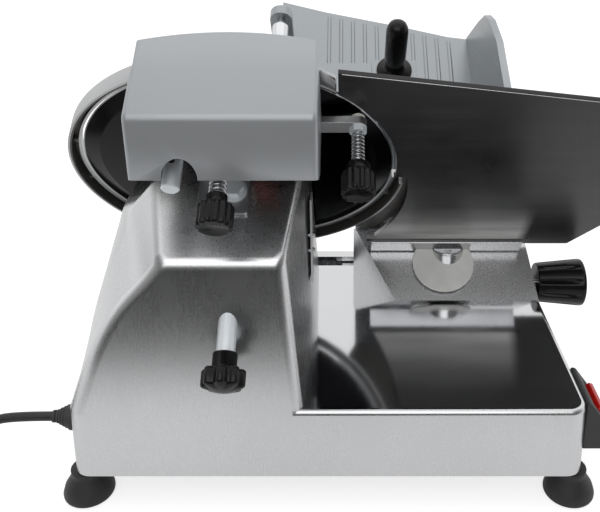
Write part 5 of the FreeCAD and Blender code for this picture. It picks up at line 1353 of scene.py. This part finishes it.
SOFTENED_NODES = {
    "gauge_plate": ("gauge_face_plate", 0.7, "gauge_coating"),
    "gauge_support_bar": ("gauge_crossbar", 0.8, "bar_steel"),
    "gauge_arm": ("gauge_slide_arm", 0.5, "arm_cast"),
    "tray_arm": ("tray_carrier", 1.2, "arm_cast"),
    "food_tray": ("tray_bed", 0.5, "tray_satin"),
    "pusher_arm": ("pusher_plate", 0.6, "tray_satin"),
    "sharpener_bracket": ("sharpener_foot", 0.8, "bracket_cast"),
    "sharpener_body": ("sharpener_arm", 0.5, "bracket_cast"),
    "switch_housing": ("switch_case", 1.4, "dull_plastic"),
    "switch_rocker": ("rocker_cap", 0.6, "rocker_red"),
    "side_shield": ("knife_side_shield", 0.3, "cover_satin"),
    "carriage_block": ("carriage_casting", 1.0, "arm_cast"),
}


def body_of(node):
    """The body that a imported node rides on."""
    bodies = frame["record"]["behaviour"]["bodies"]
    return next(body for body, nodes in bodies.items() if node in nodes)


def softened_copy(node, name, width, finish):
    """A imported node's shape with every sharp edge rounded a little, and its flats kept flat."""
    bm = bmesh.new()
    bm.from_mesh(frame["nodes"][node].data)
    bm.transform(Matrix.Scale(1 / MILLIMETRE, 4))
    bmesh.ops.remove_doubles(bm, verts=bm.verts, dist=1e-3)
    bmesh.ops.dissolve_limit(bm, angle_limit=math.radians(0.5), use_dissolve_boundaries=False,
                             verts=bm.verts, edges=bm.edges)
    ease_edges(bm, width, 32, 2)
    piece = make_piece(name, bm, Matrix.Scale(MILLIMETRE, 4), finish_named(finish), body_of(node), [node],
                       30)
    return even_normals(piece)


def make_plate_glint():
    """A fine bright steel bead just below the gauge plate's sloping top edge, that paints the highlight along
    the plate's edge.
    """
    bm = bmesh.new()
    block(bm, (0, -0.25, -0.5), (258, 0.25, 0.25))
    ease_edges(bm, 0.12, 60, 2)
    # The bead is a painted highlight along the gauge plate's edge
    spot = knife_at(84, 123.0, 4) @ Matrix.Rotation(math.radians(-9.6), 4, "Z")
    return make_piece("gauge_plate_glint", bm, spot, finish_named("bright_steel"), "gauge", ())


class SLICER_OT_softened(bpy.types.Operator):
    """Makes the gauge, tray, pusher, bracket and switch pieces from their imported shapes"""

    bl_idname = "slicer.softened"
    bl_label = "Softened Pieces"

    def execute(self, context):
        for node, settings in SOFTENED_NODES.items():
            softened_copy(node, *settings)
        make_plate_glint()
        return {"FINISHED"}


# Finishes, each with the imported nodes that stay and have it

KEPT_FINISHES = {
    "zinc_plate": ("rod_sleeve", "bracket_bolt", "sharpener_post", "honing_nut"),
    "bright_steel": ("ring_screws", "spindle_bearings", "shield_screws", "gauge_rod", "knife_screws",
                     "knife_pulley", "motor_pulley", "tie_rod", "dial_shaft", "pusher_rod", "pusher_sleeve",
                     "grinding_stud", "honing_stud"),
    "black_steel": ("bottom_plate", "motor_mount", "post_set_screw", "motor_rotor"),
    "bar_steel": ("carriage_bar",),
    "bracket_cast": ("spindle_housing",),
    "bearing_bronze": ("carriage_bushes",),
    "motor_enamel": ("motor_housing",),
    "white_nylon": ("motor_capacitor", "gauge_disc"),
    "foot_rubber": ("drive_belt",),
    "red_abrasive": ("grinding_wheel",),
    "pale_abrasive": ("honing_stone",),
}


class SLICER_OT_packed_finishes(bpy.types.Operator):
    """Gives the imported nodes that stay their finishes"""

    bl_idname = "slicer.packed_finishes"
    bl_label = "Packed Node Finishes"

    def execute(self, context):
        for finish, names in KEPT_FINISHES.items():
            for name in names:
                materials = frame["nodes"][name].data.materials
                materials.clear()
                materials.append(finish_named(finish))
        return {"FINISHED"}


# Camera, floor and light


class SLICER_OT_camera(bpy.types.Operator):
    """Places the camera at the photograph's angle"""

    bl_idname = "slicer.camera"
    bl_label = "Camera"

    def execute(self, context):
        data = bpy.data.cameras.new("slicer_camera")
        data.sensor_fit = "HORIZONTAL"
        data.sensor_width = 36.0
        data.lens = 44.64
        data.shift_x = -0.08
        data.shift_y = -0.1267
        data.clip_start = 0.05
        data.clip_end = 20.0
        camera = link_object("slicer_camera", data)
        camera.location = (-0.0107, -0.6355, 0.4553)
        camera.rotation_euler = (math.radians(68.5), 0, 0)
        context.scene.camera = camera
        return {"FINISHED"}


def add_softbox(name, location, aim, size, power):
    """A large soft lamp, turned to face a point."""
    data = bpy.data.lights.new(name, "AREA")
    data.shape = "RECTANGLE"
    data.size, data.size_y = size
    data.energy = power
    lamp = link_object(name, data)
    lamp.location = location
    way = Vector(aim) - Vector(location)
    lamp.rotation_euler = way.to_track_quat("-Z", "Y").to_euler()


def greatest(material, values):
    """The greatest of several values."""
    result = values[0]
    for value in values[1:]:
        result = combine(material, "MAXIMUM", result, value)
    return result


def make_world():
    """A studio sky: white behind the slicer, pale overhead and at both sides, dark behind the camera."""
    world = bpy.data.worlds.new("studio")
    world.use_nodes = True
    way = wire(world, "TexCoord", {}, "Generated")
    sky = greatest(world, [
        spread(world, part_of(world, way, "Y"), -0.35, 0.15, 0.11, 1.0),
        spread(world, part_of(world, way, "Z"), 0.40, 0.90, 0.0, 0.60),
        spread(world, part_of(world, way, "X"), -0.5, -0.9, 0.0, 0.34),
        spread(world, part_of(world, way, "X"), 0.5, 0.9, 0.0, 0.30),
        wire(world, "LightPath", {}, "Is Camera Ray")])
    colour = wire(world, "CombineColor", {"Red": sky, "Green": sky, "Blue": sky}, "Color")
    put(world, world.node_tree.nodes["Background"], {"Color": colour, "Strength": 1.0})
    bpy.context.scene.world = world


def make_floor(settings):
    """The pale floor: white where it is lit, with the shadow, and with its end in what metal mirrors."""
    bm = bmesh.new()
    bmesh.ops.create_grid(bm, x_segments=1, y_segments=1, size=6.0)
    bmesh.ops.translate(bm, vec=(0, 0, -0.0004), verts=bm.verts)
    mesh = bpy.data.meshes.new("studio_floor")
    bm.to_mesh(mesh)
    bm.free()
    floor = link_object("studio_floor", mesh)
    material, shader, place = start_finish("floor_paint")
    seen = greatest(material, [wire(material, "LightPath", {}, kind) for kind in
                               ("Is Camera Ray", "Is Glossy Ray", "Is Transmission Ray")])
    mirrored = wire(material, "LightPath", {}, "Is Glossy Ray")
    far = spread(material, part_of(material, place, "Y"), -0.50, -0.42, 0.0, 1.0)
    kept = combine(material, "MAXIMUM", far, combine(material, "SUBTRACT", 1.0, mirrored))
    tone = product(material, kept, spread(material, seen, 0.0, 1.0, 1.0, 0.5))
    tinted(material, shader, tone, (0.02, 0.02, 0.02), tuple(settings.floor_colour))
    glow = combine(material, "SUBTRACT", product(material, seen, 0.75), product(material, mirrored, 0.33))
    put(material, shader, {"Roughness": 0.8, "Specular IOR Level": 0.2, "Emission Color": (1, 1, 1, 1),
                           "Emission Strength": product(material, glow, kept)})
    mesh.materials.append(material)
    return floor


class SLICER_OT_stage(bpy.types.Operator):
    """Makes the pale floor, the studio sky and the soft lights"""

    bl_idname = "slicer.stage"
    bl_label = "Stage and Light"

    def execute(self, context):
        settings = context.scene.slicer_stage
        make_floor(settings)
        make_world()
        add_softbox("overhead_softbox", location=(0.0, -0.1, 1.6), aim=(0, 0, 0.1), size=(2.0, 2.0),
                    power=settings.key_power)
        add_softbox("front_softbox", location=(-0.2, -1.5, 1.3), aim=(0, 0, 0.15), size=(1.8, 1.2),
                    power=settings.front_power)
        context.scene.view_settings.view_transform = "Standard"
        return {"FINISHED"}


class SLICER_PT_pieces(bpy.types.Panel):
    """Lists the slicer's settings and the steps that build its pieces"""

    bl_idname = "SLICER_PT_pieces"
    bl_label = "Meat Slicer"
    bl_space_type = "VIEW_3D"
    bl_region_type = "UI"
    bl_category = "Slicer"

    def draw(self, context):
        layout = self.layout
        for name, group in SETTINGS.items():
            box = layout.box()
            box.label(text=name.replace("slicer_", "").capitalize())
            for key in group.__annotations__:
                box.prop(getattr(context.scene, name), key)
        for step in STEPS:
            layout.operator(step.bl_idname)


STEPS = (
    SLICER_OT_camera, SLICER_OT_power_cord, SLICER_OT_casting, SLICER_OT_feet, SLICER_OT_knife,
    SLICER_OT_hood, SLICER_OT_knobs, SLICER_OT_springs, SLICER_OT_softened, SLICER_OT_packed_finishes,
    SLICER_OT_stage,
)


def register():
    for name, group in SETTINGS.items():
        bpy.utils.register_class(group)
        setattr(bpy.types.Scene, name, bpy.props.PointerProperty(type=group))
    for step in STEPS:
        bpy.utils.register_class(step)
    bpy.utils.register_class(SLICER_PT_pieces)


def unregister():
    bpy.utils.unregister_class(SLICER_PT_pieces)
    for step in reversed(STEPS):
        bpy.utils.unregister_class(step)
    for name, group in reversed(SETTINGS.items()):
        delattr(bpy.types.Scene, name)
        bpy.utils.unregister_class(group)


def main():
    register()
    for step in STEPS:
        module, action = step.bl_idname.split(".")
        getattr(getattr(bpy.ops, module), action)()


if __name__ == "__main__":
    main()
